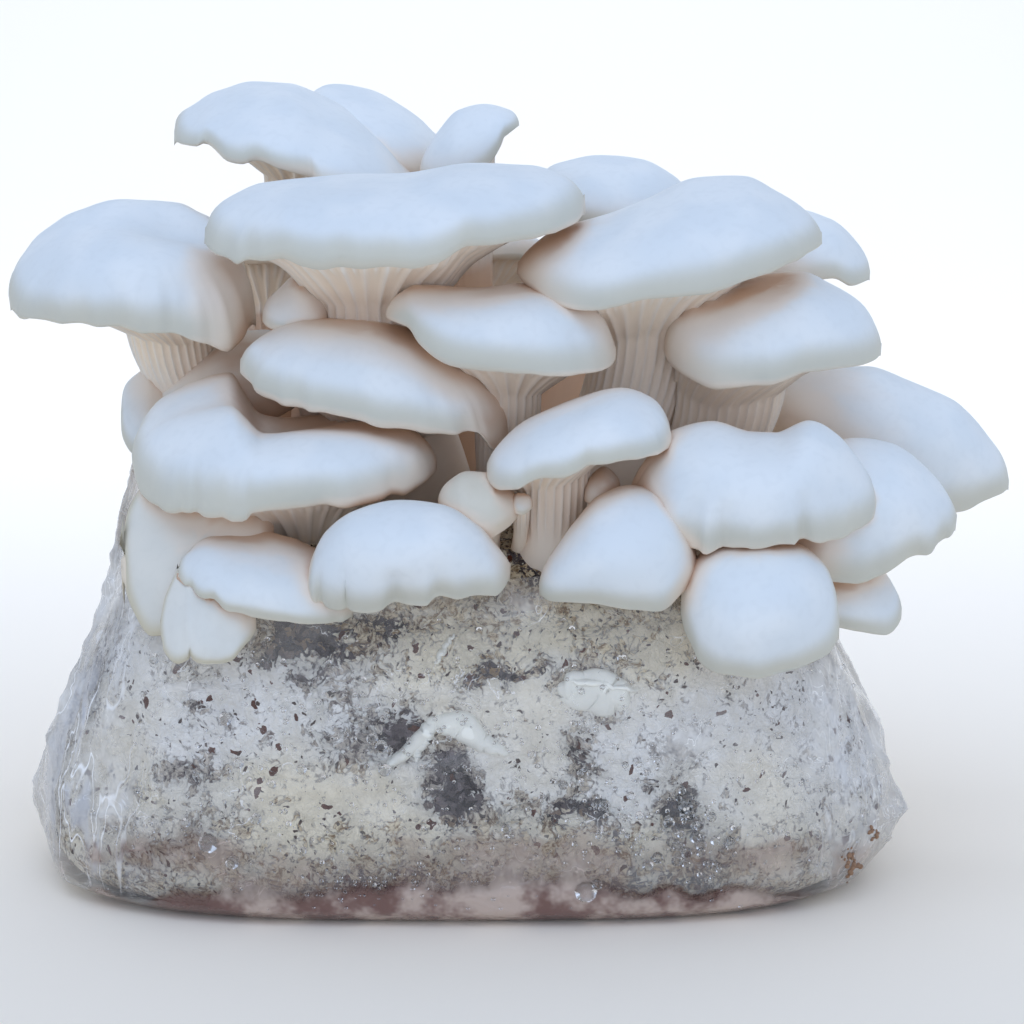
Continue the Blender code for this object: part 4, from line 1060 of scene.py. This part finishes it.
# %% Growth patches
PATCHES = [   # x, z, half width, half height, felt, dark, warm
    (-80, 35, 19, 9, 0.75, -0.3, -0.5), (-65, 48, 9, 9, 0.6, -0.2, -0.1),
    (-80, 47.5, 13, 2, 0.7, -0.2, -0.6), (-84, 44, 4, 3, -0.8, 0.5, -0.5),
    (-84, 38, 5, 3, -0.5, 0.3, -0.3), (-54, 60, 13, 9, -0.5, 0.6, -0.2),
    (-38, 65, 26, 8, -0.3, 0.5, 0.6), (-41, 43, 25, 14, 0.0, 0.16, -0.35),
    (-26, 50, 13, 7, 0.1, 0.0, 0.5), (-22, 34, 8, 9, -0.5, 0.6, -0.4),
    (-2, 62, 13, 11, 0.0, 0.1, 0.9), (33, 67, 26, 9, 0.0, 0.0, 0.9),
    (55, 61, 12, 10, 0.0, 0.0, 0.8), (10, 51, 11, 4.5, -0.7, 0.95, 0.0),
    (37, 46, 13, 8, -0.2, 0.1, 0.0), (-10, 33, 14, 9, 0.25, 0.0, 0.4),
    (18, 36, 14, 9, 0.6, -0.2, 0.15), (15, 23, 16, 8, 0.65, -0.2, 0.1),
    (-51, 14, 31, 7, 0.45, -0.3, 0.85), (-27, 14, 11, 8, 0.7, -0.4, 0.3),
    (-101, 14, 4, 6, -0.5, 0.6, 0.6), (-88, 20, 7, 6, -0.4, 0.35, -0.3),
    (-6, 16, 10, 11, -0.7, 0.75, -0.3), (48, 23, 10, 20, 0.85, -0.4, -0.3),
    (33, 26, 5, 6, -0.8, 0.55, -0.1), (39, 10, 9, 4, -0.7, 0.65, 0.0),
    (44, 1, 6, 7, -0.4, 0.5, 0.0), (64, 29, 7, 6, -0.35, 0.0, -0.1),
    (75, 37, 13, 10, 0.9, -0.4, -0.6), (104, 39, 19, 15, 0.7, -0.3, -0.4),
    (119, 32, 6, 16, 0.8, -0.3, -0.6), (63, 8, 6, 7, -0.9, 0.85, -0.2),
    (76, 12, 9, 8, 0.55, -0.2, -0.1), (100, 11, 22, 10, 0.2, 0.0, 0.2),
    (78, 50, 1.5, 4, -0.9, 1.0, 0.3), (22, 4, 14, 7, -0.2, 0.25, 0.0),
    (-108, 24, 16, 22, 0.5, -0.2, 0.35), (-104, 58, 8, 12, 0.5, 0.0, -0.2),
    (-66, 1, 16, 6, 0.0, 0.3, 0.2), (-30, 0, 16, 6, -0.2, 0.4, 0.1),
    (60, -4, 40, 5, 0.1, 0.1, 0.2), (0, -18, 120, 10, -0.35, 0.4, 0.6),
    (0, -2, 130, 9, 0.0, 0.0, 0.5)]


def seen_place(points):
    """Where points show on the plane y = 0; points at the back are turned round first."""
    share = EYE[1] / (EYE[1] - points[:, 1])
    return (EYE[0] + (points[:, 0] - EYE[0]) * share, EYE[2] + (points[:, 2] - EYE[2]) * share)


def growth(points):
    """Felt, dark and warm at each point, with frayed patch edges."""
    frayed = np.stack([wobble(points, 9, 21), wobble(points, 9, 22)], -1) * 3.2
    frayed += np.stack([wobble(points, 3.5, 23), wobble(points, 3.5, 24)], -1) * 1.7
    total = np.zeros((len(points), 3))
    back = smooth(points[:, 1], -20, 30)
    for way, weight in ((1, 1 - back), (-1, back)):
        x, z = seen_place(points * [way, way, 1])
        x, z = x + frayed[:, 0], z + frayed[:, 1]
        for px, pz, wide, tall, *adds in PATCHES:
            far = ((x - px) / wide) ** 2 + ((z - pz) / tall) ** 2
            total += np.outer(weight * np.exp(-far ** 1.5 * 0.8), adds)
    return total


print(len(PATCHES), "patches of growth")

# %% [markdown]
# The block's mesh is fine enough, about 1.4 mm, for the felt to stand out in relief. All
# relief of the sides goes inwards, so that the block stays inside its film.

# %% Block mesh
BLOCK_SIDES = 440
turns = even_turns(BLOCK_SIDES)
rows = [bag_point(turns, np.full(BLOCK_SIDES, 1.4), INSET + 9) * [share, share, 1]
        for share in (0.15, 0.4, 0.65, 0.85, 0.96)]
for height in np.linspace(1.6, SHOULDER, 62):
    rounding = 9 * (1 - smooth(height, 1.5, 12.0))
    rows.append(bag_point(turns, np.full(BLOCK_SIDES, height), INSET + 0.4 * rounding))
for share in np.cos(np.linspace(0.06, 1.5, 46)):
    rise = (BLOCK_TOP - SHOULDER) * math.sqrt(1 - share ** 2.4)
    ring = bag_point(turns, np.full(BLOCK_SIDES, SHOULDER), INSET + 1.5)
    rows.append(ring * [share, share, 1] + [0, 0, rise])
block_flat = np.array(rows).reshape(-1, 3)
added = growth(block_flat)
on_top = smooth(block_flat[:, 2], 86, 96)
broad, fine = wobble(block_flat, 22, 31), wobble(block_flat, 5.5, 32)
felt = 0.7 + added[:, 0] + 0.2 * broad + 0.16 * fine
felt = np.clip(blend(felt, 0.28 + 0.3 * broad, on_top), 0, 1)
dark = np.clip(0.16 + added[:, 1] + 0.15 * wobble(block_flat, 14, 33), 0, 1)
dark = np.clip(blend(dark, 0.35 + 0.2 * fine, on_top), 0, 1)
warm = np.clip(blend(0.3 + added[:, 2] + 0.2 * broad, 0.95, on_top), 0, 1)

hollow = 0.35 + 0.9 * (1 - felt) + 0.3 * wobble(block_flat, 2.6, 34) + 0.35 * fine
inward = block_flat - [0, 0, 45]
inward = inward / np.linalg.norm(inward, axis=1, keepdims=True)
hollow += 1.3 * smooth(abs(block_flat[:, 0]), 84, 112)         # the film is loose at the ends
depth = np.clip(hollow, 0, 3.4) * (1 - on_top) - on_top * (
    1.6 * wobble(block_flat, 16, 35) + 0.9 * fine + 0.5 * wobble(block_flat, 2.6, 34))
block_flat = block_flat - inward * depth[:, None]
every = np.vstack([block_flat, [0, 0, 1.4], [0, 0, BLOCK_TOP]])
rows_count = len(rows)
faces = grid_faces(rows_count, BLOCK_SIDES, flip=True)
tail = (rows_count - 1) * BLOCK_SIDES
faces += [[rows_count * BLOCK_SIDES, (k + 1) % BLOCK_SIDES, k] for k in range(BLOCK_SIDES)]
faces += [[rows_count * BLOCK_SIDES + 1, tail + k, tail + (k + 1) % BLOCK_SIDES]
          for k in range(BLOCK_SIDES)]
print("block of", len(every), "points")

# %% [markdown]
# ## Grown-through sawdust
#
# Beech or oak sawdust, a millimetre or two a grain, is tan when dry, grey-brown when wet
# and never shiny: roughness 0.9. Mycelium felt over it is white, cream where it is old, and
# ends in feathers. The shader bends its coordinates twice, by 3 mm and by under 1 mm, which
# frays the felt; it breaks the bare places into chips of about 1.5 mm, and it scatters
# bark specks in two sizes.

# %% Block material
def bent_place(tree, place, size, amount):
    """Coordinates bent by noise of one size in metres, by up to about the amount."""
    bend = add(tree, "ShaderNodeTexNoise", {"Vector": place, "Scale": 1 / size, "Detail": 2.0})
    shift = add(tree, "ShaderNodeVectorMath",
                {0: bend.outputs["Color"], "Scale": amount}, operation="SCALE").outputs[0]
    return add(tree, "ShaderNodeVectorMath", {0: place, 1: shift}, operation="ADD").outputs[0]


def around(tree, value, strength):
    """Noise, which varies about one half, as a value about zero."""
    return sums(tree, "MULTIPLY", sums(tree, "SUBTRACT", value, 0.5), strength)


def speckles(tree, place, size, chance, radius):
    """1 inside scattered specks, whose cells are one size in metres, else 0."""
    cells = add(tree, "ShaderNodeTexVoronoi", {"Vector": place, "Scale": 1 / size})
    pick = add(tree, "ShaderNodeSeparateColor", {0: cells.outputs["Color"]})
    reach = sums(tree, "MULTIPLY", pick.outputs[2], radius)
    return sums(tree, "MULTIPLY", sums(tree, "LESS_THAN", cells.outputs["Distance"], reach),
                sums(tree, "LESS_THAN", pick.outputs[1], chance))


def block_material():
    made, tree, out = new_material("grown_through_sawdust")
    place = add(tree, "ShaderNodeTexCoord").outputs["Object"]
    bent = bent_place(tree, place, 0.006, 0.006)
    frayed = bent_place(tree, bent, 0.0015, 0.0016)
    grit = add(tree, "ShaderNodeTexNoise", {"Vector": frayed, "Scale": 1 / 0.0016,
                                            "Detail": 4.0, "Roughness": 0.7}).outputs["Fac"]
    tufts = add(tree, "ShaderNodeTexNoise", {"Vector": frayed, "Scale": 1 / 0.0065,
                                             "Detail": 4.0, "Roughness": 0.68}).outputs["Fac"]
    chips = add(tree, "ShaderNodeTexVoronoi", {"Vector": frayed, "Scale": 1 / 0.0017})
    chip_tone = add(tree, "ShaderNodeSeparateColor", {0: chips.outputs["Color"]}).outputs[0]
    clumps = add(tree, "ShaderNodeTexNoise", {"Vector": frayed, "Scale": 1 / 0.0024,
                                              "Detail": 3.0, "Roughness": 0.6}).outputs["Fac"]
    tuft = add(tree, "ShaderNodeTexVoronoi", {"Vector": frayed, "Scale": 1 / 0.0014})
    warmth = attribute(tree, "warm")

    wet = mix(tree, step(tree, grit, 0.36, 0.62), linear("#6b6263"), linear("#e0d6ca"))
    dry = mix(tree, step(tree, grit, 0.38, 0.6), linear("#8f7250"), linear("#f4e4c4"))
    ground = mix(tree, warmth, wet, dry)
    bare = mix(tree, chip_tone, linear("#2b2122"), linear("#857a7b"))
    bare = mix(tree, sums(tree, "MULTIPLY", warmth, step(tree, chip_tone, 0.6, 0.9)),
               bare, linear("#a98c63"))
    bare_mask = step(tree, sums(tree, "ADD", attribute(tree, "dark"),
                                sums(tree, "ADD", around(tree, tufts, 2.0),
                                     around(tree, clumps, 1.4))), 0.4, 0.52)
    ground = mix(tree, bare_mask, ground, bare)

    white = mix(tree, warmth, linear("#fffdfa"), linear("#fbf0d8"))
    ragged = sums(tree, "ADD", attribute(tree, "felt"), around(tree, tufts, 2.8))
    ragged = sums(tree, "ADD", ragged, around(tree, clumps, 1.6))
    ragged = sums(tree, "SUBTRACT", ragged,
                  sums(tree, "MULTIPLY", tuft.outputs["Distance"], 0.3))
    thin = sums(tree, "SUBTRACT", 1.0, step(tree, ragged, 0.4, 0.72))
    white = mix(tree, sums(tree, "MULTIPLY", step(tree, tufts, 0.4, 0.62), 0.35),
                white, linear("#ddd3be"))
    shadow = sums(tree, "MULTIPLY", step(tree, tuft.outputs["Distance"], 0.3, 0.75), thin)
    white = mix(tree, sums(tree, "MULTIPLY", shadow, 0.85), white, linear("#8d8683"))
    colour = mix(tree, step(tree, ragged, 0.27, 0.45), ground, white)
    pits = sums(tree, "MULTIPLY", speckles(tree, frayed, 0.0013, 0.34, 0.46), thin)
    colour = mix(tree, sums(tree, "MULTIPLY", pits, 0.85), colour, linear("#3b3233"))
    colour = mix(tree, speckles(tree, frayed, 0.0038, 0.28, 0.36), colour, linear("#5c3122"))
    colour = mix(tree, speckles(tree, frayed, 0.0016, 0.22, 0.4), colour, linear("#4c3a33"))

    height = sums(tree, "MULTIPLY", sums(tree, "ADD", grit, clumps),
                  sums(tree, "SUBTRACT", 1.45, attribute(tree, "felt")))
    bump = add(tree, "ShaderNodeBump",
               {"Height": height, "Strength": 0.9, "Distance": 0.002}).outputs[0]
    skin = add(tree, "ShaderNodeBsdfPrincipled",
               {"Base Color": colour, "Roughness": 0.9, "Normal": bump, "IOR": 1.45,
                "Specular IOR Level": 0.25})
    tree.links.new(skin.outputs[0], out.inputs[0])
    return made


block = make_mesh("sawdust_block", every, faces, block_material())
for name, values in (("felt", felt), ("dark", dark), ("warm", warm)):
    store(block.data, name, np.append(values, [0.3, 0.3]))
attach(block, "root")
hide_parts("substrate_block")
print("block: felt", round(felt.mean(), 2), "dark", round(dark.mean(), 2))

# %% [markdown]
# ## The film
#
# The bag is soft polyethylene film, thinner than a tenth of a millimetre. It clings to the
# block in front, gathers in creases at both ends, and its cut edge stands a little off the
# crumbly top. It could be simulated, but a thin sheet over a hard block hardly moves, so
# creases are pushed into the mesh instead: a crease is a sharp line, which is what one
# minus the absolute value of smooth noise gives.

# %% Film shape
def creases(points, size, seed, stretch=(1, 1, 1)):
    """Sharp crease lines, 1 on the line and falling to 0 beside it."""
    return np.clip(1 - 2.6 * np.abs(wobble(points * np.array(stretch), size, seed)), 0, 1)


def mouth_height(turn):
    """Height of the film's cut edge; the corner of film at the left still stands up."""
    c, s = np.cos(turn), np.sin(turn)
    side = np.where(c < 0, 121.0, 90.0)
    end = np.where(s > 0, 100.0, 91.0)
    return blend(end, side, smooth(abs(c), 0.6, 0.95))


# The milk column is partly the film's own milkiness and partly painted sheen where the film
# catches the sky.
FOLDS = [   # milky folds and stains on the front: x, z, half width, half height, milk, stain
    (-114, 30, 10, 26, 0.5, 0.0), (-122, 42, 8, 14, 0.45, 0.0), (-95, 66, 12, 9, 0.5, 0.0),
    (-106, 88, 7, 22, 0.6, 0.0), (-80, 47.5, 16, 1.6, 0.7, 0.0), (-88, 31, 14, 6, 0.25, 0.0),
    (-60, 12, 30, 7, 0.1, 0.1), (-26, 12, 12, 8, 0.25, 0.0), (-100, 2, 24, 10, 0.1, 0.25),
    (76, 36, 13, 9, 0.3, 0.0), (104, 38, 18, 18, 0.4, 0.0), (119, 30, 6, 18, 0.6, 0.0),
    (62, 29, 8, 7, 0.35, 0.0), (96, 4, 30, 12, 0.15, 0.15), (20, 2, 40, 9, 0.0, 0.1),
    (0, -9, 170, 10, 0.0, 0.42), (0, -26, 160, 8, 0.0, 0.95), (112, 64, 6, 12, 0.4, 0.0),
    (-10, 77, 62, 5, 0.1, 0.3)]


def fold_values(points):
    """Milk with painted sheen, and stain, of the film; the back has the same folds the other way
    round.
    """
    shift = np.stack([wobble(points, 12, 51), wobble(points, 12, 52)], -1) * 3
    total = np.zeros((len(points), 2))
    back = smooth(points[:, 1], -20, 30)
    for way, weight in ((1, 1 - back), (-1, back)):
        x, z = seen_place(points * [way, way, 1])
        x, z = x + shift[:, 0], z + shift[:, 1]
        for px, pz, wide, tall, *adds in FOLDS:
            far = ((x - px) / wide) ** 2 + ((z - pz) / tall) ** 2
            total += np.outer(weight * np.exp(-far ** 1.5 * 0.8), adds)
    return np.clip(total, 0, 1)


FILM_SIDES = 520
turns = even_turns(FILM_SIDES)
rows = [bag_point(turns, np.full(FILM_SIDES, 0.3), 10) * [share, share, 1]
        for share in (0.2, 0.5, 0.75, 0.92)]
mouth = mouth_height(turns)
for share in np.linspace(0, 1, 84):
    height = blend(0.3, mouth, share ** 1.05)
    rounding = 3.5 * (1 - smooth(height, 0.3, 12.0))
    rows.append(bag_point(turns, height, rounding * 0.4))
in_front = smooth(-np.sin(turns), 0.5, 0.8)                   # the flap over the shoulder
wide = 5.5 + 1.6 * wobble(np.stack([turns * 20, turns * 0, turns * 0], -1), 3, 53)
for share in (0.2, 0.4, 0.6, 0.8, 1.0):
    way = wide * share
    rise = (BLOCK_TOP - SHOULDER) * np.sqrt(1 - (1 - (way + 0.9) / 73) ** 2.4)
    top = bag_point(turns, mouth, way * in_front)
    top[:, 2] = blend(mouth, np.maximum(SHOULDER + rise + 1.0, mouth), in_front)
    rows.append(top)
film_flat = np.array(rows).reshape(-1, 3)
outward = film_flat * [1, 1, 0]
outward[:, 0] *= 0.8
outward /= np.maximum(np.linalg.norm(outward, axis=1, keepdims=True), 1e-6)
ends = smooth(abs(film_flat[:, 0]), 80, 118)                  # the gathered ends
high = smooth(film_flat[:, 2], 70, 90)
low_down = 1 - smooth(film_flat[:, 2], 2, 14)
crumple = creases(film_flat, 38, 41, (1, 1, 0.35)) * 3.0 + creases(film_flat, 15, 42) * 1.0
crumple += creases(film_flat, 5.5, 45) * 0.25
taut = creases(film_flat, 34, 43, (0.35, 0.6, 1.2)) * 0.8 + creases(film_flat, 9, 44) * 0.3
lift = blend(taut, crumple, ends) * (1 - 0.9 * low_down) + 0.8 * high * crumple * 0.4
lift = lift - 1.2 * ends * (1 - low_down)
EAR_HEIGHT = 4.0
ears = np.zeros(len(film_flat))                               # corners of film at the ends
for x, y, z, size in ((-121, -56, 4, 8), (122, -40, 24, 6)):
    far = ((film_flat - [x, y, z]) ** 2).sum(1) / size ** 2
    ears += np.exp(-far) * EAR_HEIGHT
film_flat = film_flat + outward * (lift + ears)[:, None]
milk_and_sheen, stain = fold_values(film_flat).T
print("creases stand out by up to", round(lift.max(), 1), "mm")

# %% [markdown]
# ## Polyethylene film
#
# Polyethylene is clear with a milky cast, IOR 1.51, and smooth: roughness 0.08. A sheet
# this thin doesn't bend what lies behind it, so it is drawn as a surface that covers only
# part of what it hides. Alpha is low on flat film. It is higher on creases, where there are
# more layers, along fine crinkles, whose flanks catch the sky, at a grazing view, and in the
# milky folds, which are partly the film's own milkiness and partly painted sheen where the
# film catches the sky. Where it hangs loose at the ends it also has slanting pleats, which
# glint on one side and lie in shade on the other. Near the ground brown water with mud in it
# has gathered behind it. The film is one layer of faces, which stands for its two surfaces:
# every layer that a ray passes takes time.

# %% Film material
def film_material():
    made, tree, out = new_material("polyethylene_film")
    place = add(tree, "ShaderNodeTexCoord").outputs["Object"]
    haze = add(tree, "ShaderNodeTexNoise", {"Vector": place, "Scale": 1 / 0.02, "Detail": 4.0,
                                            "Roughness": 0.65}).outputs["Fac"]
    crinkle = add(tree, "ShaderNodeTexNoise",
                  {"Vector": place, "Scale": 1 / 0.0075, "Detail": 2.0, "Distortion": 0.9}
                  ).outputs["Fac"]
    ridge = sums(tree, "ABSOLUTE", sums(tree, "SUBTRACT", crinkle, 0.5), 0.0)
    ridge = sums(tree, "SUBTRACT", 1.0, step(tree, ridge, 0.0, 0.012))
    slanted = add(tree, "ShaderNodeMapping", {"Vector": place, "Rotation": (0.5, 0.4, 0.3),
                                              "Scale": (1.0, 1.0, 0.3)}).outputs[0]
    pleat = add(tree, "ShaderNodeTexNoise",
                {"Vector": slanted, "Scale": 1 / 0.011, "Detail": 2.0, "Distortion": 0.6}
                ).outputs["Fac"]
    loose = attribute(tree, "loose")
    glint = sums(tree, "ABSOLUTE", sums(tree, "SUBTRACT", pleat, 0.5), 0.0)
    glint = sums(tree, "MULTIPLY", sums(tree, "SUBTRACT", 1.0, step(tree, glint, 0.0, 0.02)),
                 loose)
    shade = sums(tree, "MULTIPLY", step(tree, pleat, 0.53, 0.62), loose)
    some = step(tree, haze, 0.52, 0.64)
    # partly the film's milkiness, partly painted sheen where the film catches the sky
    milky_sheen = sums(tree, "MULTIPLY", attribute(tree, "milk_and_sheen"), step(tree, haze, 0.3, 0.62))
    stained = sums(tree, "ADD", attribute(tree, "stain"), around(tree, haze, 1.2))
    stained = sums(tree, "MULTIPLY", step(tree, stained, 0.1, 1.0), attribute(tree, "stain"))
    folded = sums(tree, "MULTIPLY", attribute(tree, "crease"), 0.3)
    graze = add(tree, "ShaderNodeLayerWeight", {"Blend": 0.2}).outputs["Fresnel"]
    cover = 0.03
    for part, weight in ((milky_sheen, 0.36), (stained, 1.0), (folded, 0.6), (graze, 0.4),
                         (glint, 0.6), (shade, 0.3),
                         (sums(tree, "MULTIPLY", ridge, some), 0.4)):
        cover = sums(tree, "ADD", cover, sums(tree, "MULTIPLY", part, weight))
    cover = sums(tree, "MINIMUM", cover, 0.96)
    clear = sums(tree, "SUBTRACT", 1.0, cover)      # both faces of the film in one
    cover = sums(tree, "SUBTRACT", 1.0, sums(tree, "MULTIPLY", clear, clear))
    colour = mix(tree, step(tree, haze, 0.35, 0.65), linear("#e6e3df"), linear("#fffdf9"))
    colour = mix(tree, shade, colour, linear("#c9cbd2"))
    colour = mix(tree, glint, colour, linear("#ffffff"))
    mud = mix(tree, step(tree, haze, 0.4, 0.6), linear("#76564f"), linear("#c3b0a4"))
    colour = mix(tree, step(tree, stained, 0.0, 0.15), colour, mud)
    bump = add(tree, "ShaderNodeBump",
               {"Height": crinkle, "Strength": 0.8, "Distance": 0.0012}).outputs[0]
    skin = add(tree, "ShaderNodeBsdfPrincipled",
               {"Base Color": colour, "Roughness": 0.08, "IOR": 1.51,
                "Specular IOR Level": 0.5, "Coat Weight": 0.5, "Coat Roughness": 0.04,
                "Normal": bump, "Alpha": cover})
    tree.links.new(skin.outputs[0], out.inputs[0])
    return made


count = len(rows)
every = np.vstack([film_flat, [0, 0, 0.3]])
faces = grid_faces(count, FILM_SIDES, flip=True)
faces += [[count * FILM_SIDES, (k + 1) % FILM_SIDES, k] for k in range(FILM_SIDES)]
film = make_mesh("film_bag", every, faces, film_material())
store(film.data, "crease", np.append(np.clip(lift / 3, 0, 1), 0))
store(film.data, "milk_and_sheen", np.append(milk_and_sheen, 0))
loose = ends * (1 - low_down) * np.where(film_flat[:, 0] > 0, 0.3, 1.0)
loose *= 1 - 0.9 * smooth(film_flat[:, 1], -55, -20)           # they fade round the corner
store(film.data, "loose", np.append(loose, 0))
store(film.data, "stain", np.append(stain, 0.5))
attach(film, "root")
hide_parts("plastic_bag")
print("film of", len(faces), "faces")

# %% [markdown]
# ## What is pressed against the film
#
# Behind the film, in front of the block, young mushrooms that couldn't get out have grown
# flat: one branches to the left, one is a folded lump. They are placed with the same
# drawing plane as the caps: the nearest point of the block that shows at a place.

# %% Pressed young mushrooms
def front_finder(points):
    """Search tree of the front points of a surface, by where they show."""
    front = np.nonzero(points[:, 1] < -30)[0]
    x, z = seen_place(points[front])
    found = KDTree(len(front))
    for number, (a, b) in enumerate(zip(x, z)):
        found.insert((a, b, 0), number)
    found.balance()
    return found, front


def at_place(finder, points, x, z):
    found, front = finder
    return points[front[found.find((x, z, 0))[1]]]


def simple_material(name, **values):
    made, tree, out = new_material(name)
    skin = add(tree, "ShaderNodeBsdfPrincipled",
               {key.replace("_", " "): value for key, value in values.items()})
    tree.links.new(skin.outputs[0], out.inputs[0])
    return made


PALE = simple_material("pressed_mushroom_flesh", Base_Color=linear("#f6f4ea"), Roughness=0.5,
                       IOR=1.4)
block_finder = front_finder(block_flat)
film_finder = front_finder(film_flat)


TUBE_SIDES, DOME_SIDES = 20, 10


def pressed(name, way, widths, thick):
    """A flattened tube whose middle shows along a line of places (x, z)."""
    way = np.array(way, float)
    steps = np.linspace(0, len(way) - 1, 40)
    x, z = [np.interp(steps, range(len(way)), way[:, k]) for k in (0, 1)]
    wide = curve(steps, range(len(way)), widths)
    middles = np.array([at_place(block_finder, block_flat, a, b) for a, b in zip(x, z)])
    middles = (middles + np.roll(middles, 1, 0) + np.roll(middles, -1, 0)) / 3
    middles[0], middles[-1] = middles[1] * 2 - middles[2], middles[-2] * 2 - middles[-3]
    ahead = np.gradient(middles, axis=0)
    ahead /= np.linalg.norm(ahead, axis=1, keepdims=True)
    across = np.cross(ahead, [0, -1, 0])
    turn = np.arange(TUBE_SIDES) / TUBE_SIDES * 2 * np.pi
    ends = np.sqrt(np.clip(np.minimum(steps, steps[::-1]) / 0.35, 0.02, 1))
    wave = 1 + 0.05 * wobble(middles, 8, 71)
    rings = (middles[:, None] + across[:, None] * (np.cos(turn)[None, :, None]
             * (wide * ends * wave)[:, None, None])
             + np.array([0, -1, 0]) * (np.sin(turn)[None, :, None] * thick
                                       * ends[:, None, None]))
    flat = rings.reshape(-1, 3)
    flat = flat + wobble(flat, 3, 72)[:, None] * [0, 0.25, 0.15]
    faces = grid_faces(len(rings), TUBE_SIDES)
    last = len(flat) - 1
    faces += [list(range(TUBE_SIDES)), list(range(last, last - TUBE_SIDES, -1))]
    made = make_mesh(name, flat, faces, PALE)
    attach(made, "root")
    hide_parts("substrate_block")


SHOOTS = {   # places along the middle, half width at each, thickness in mm
    "pressed_shoot": ([(-27, 22), (-20, 27), (-14, 33), (-10, 39)], (1.0, 1.9, 2.2, 1.8), 1.9),
    "pressed_branch": ([(-12, 34), (-16, 29), (-17, 24)], (1.6, 1.5, 0.9), 1.7),
    "pressed_leaf": ([(-12, 36), (-3, 36), (4, 30), (12, 27)], (2.4, 4.2, 2.6, 1.0), 2.0),
    "pressed_lump": ([(27, 49), (33, 47), (40, 46), (49, 44)], (3.6, 5.6, 6.4, 3.2), 2.2),
    "pressed_fold": ([(28, 50.5), (38, 50), (52, 47)], (1.0, 1.3, 0.9), 2.8),
    "pressed_stub": ([(-11, 55), (-5, 65)], (0.9, 0.7), 1.3),
}
for name, (way, widths, thick) in SHOOTS.items():
    pressed(name, way, widths, thick)
print(len(SHOOTS), "young mushrooms pressed flat")

# %% [markdown]
# ## Condensed water and crumbs
#
# The living block breathes out water, which has gathered on the film in round drops of
# about 0.5 to 3 mm, thickest low down and in the front's middle. Each is a shallow dome of
# clear water, IOR 1.33, that bends the light behind it into a dark ring with a bright
# spot. At the right, crumbs of bark have stuck to the outside of the film.

# %% Drops and crumbs
CLUSTERS = [   # x, z, spread in x and z, how many, smallest and largest radius
    (0, 20, 55, 26, 300, 0.25, 0.6), (5, 35, 45, 18, 110, 0.35, 0.8),
    (-33, -18, 12, 5, 90, 0.25, 0.6), (-60, 10, 35, 12, 60, 0.3, 0.7),
    (70, -3, 9, 5, 34, 0.6, 1.5), (60, 4, 18, 8, 60, 0.3, 0.8), (95, 20, 18, 18, 50, 0.3, 0.7),
    (-70, 50, 14, 8, 24, 0.4, 0.8), (40, 20, 8, 14, 50, 0.4, 0.9),
    (-101, 4, 14, 6, 40, 0.25, 0.6), (35, -18, 0.5, 0.5, 1, 2.6, 2.7),
    (-82, -2, 0.5, 0.5, 1, 2.4, 2.5), (-75, -9, 0.5, 0.5, 1, 1.6, 1.7),
    (66, 9, 2, 2, 3, 1.6, 2.1), (-27, 22, 0.5, 0.5, 1, 1.5, 1.6),
    (-30, 26, 3, 3, 2, 1.3, 1.6), (-75, 37, 0.5, 0.5, 1, 1.5, 1.6),
    (-96, 57, 0.5, 0.5, 1, 1.3, 1.4), (-50, 16, 20, 14, 6, 0.9, 1.4),
    (40, 5, 25, 10, 10, 0.9, 1.5)]


RINGS = (1.0, 0.88, 0.6)         # radii of a dome's rings, from its foot up


def domes(name, places, radii, look, node, tall=0.75):
    """One mesh of many small domes that stand on the film; radii are in mm."""
    turn = np.arange(DOME_SIDES) / DOME_SIDES * 2 * np.pi
    points, faces = [], []
    for (x, z), radius in zip(places, radii):
        foot = at_place(film_finder, film_flat, x, z)
        out = np.array([foot[0] / 900, -1.0, 0.15])
        out /= np.linalg.norm(out)
        side = np.cross(out, [0, 0, 1])
        side /= np.linalg.norm(side)
        up = np.cross(side, out)
        spread = np.cos(turn)[:, None] * side + np.sin(turn)[:, None] * up
        first = sum(len(p) for p in points)
        for share in RINGS:
            points.append(foot + radius * (spread * share
                                           + out * tall * math.sqrt(1 - share ** 2)))
        points.append((foot + out * radius * tall)[None])
        inner = first + (len(RINGS) - 1) * DOME_SIDES
        faces += grid_faces(len(RINGS), DOME_SIDES, first)
        faces += [[inner + k, inner + DOME_SIDES, inner + (k + 1) % DOME_SIDES]
                  for k in range(DOME_SIDES)]
        faces.append([first + k for k in range(DOME_SIDES)])
    made = make_mesh(name, np.vstack(points), faces, look)
    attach(made, "root")
    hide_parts(node)


dice = np.random.default_rng(7)
places, radii = [], []
for x, z, wide, tall, number, small, large in CLUSTERS:
    places += list(dice.normal((x, z), (wide, tall), (number, 2)))
    radii += list(1.2 * (small + (large - small) * dice.random(number) ** 1.6))
drops = [(place, radius) for place, radius in zip(places, radii)
         if -118 < place[0] < 122 and -24 < place[1] < 70]
water = simple_material("condensed_water", Base_Color=linear("#ffffff"), Roughness=0.0,
                        IOR=1.33, Transmission_Weight=1.0)
domes("water_drops", [d[0] for d in drops], [d[1] for d in drops], water, "plastic_bag",
      0.6)
bark = simple_material("bark_crumbs", Base_Color=linear("#97775f"), Roughness=0.95, IOR=1.45)
spots = list(dice.normal((117, -9), (1.6, 2.2), (34, 2))) + list(
    dice.normal((124, 1), (1.0, 1.2), (10, 2)))
domes("crumbs", spots, dice.uniform(0.3, 0.9, len(spots)), bark, "substrate_block",
      1.1)
print(len(drops), "drops of water,", len(spots), "crumbs")

# %% [markdown]
# ## Sizes and the end
#
# The dressed object has to fill the same box as the solids, so both boxes are printed.

# %% Print the two boxes
dressed_low, dressed_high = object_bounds()
sizes = {"cad": [list(cad_low), list(cad_high)],
         "visual": [list(dressed_low), list(dressed_high)]}
for name, (low, high) in sizes.items():
    print(name, [round(1000 * v, 1) for v in low], [round(1000 * v, 1) for v in high])
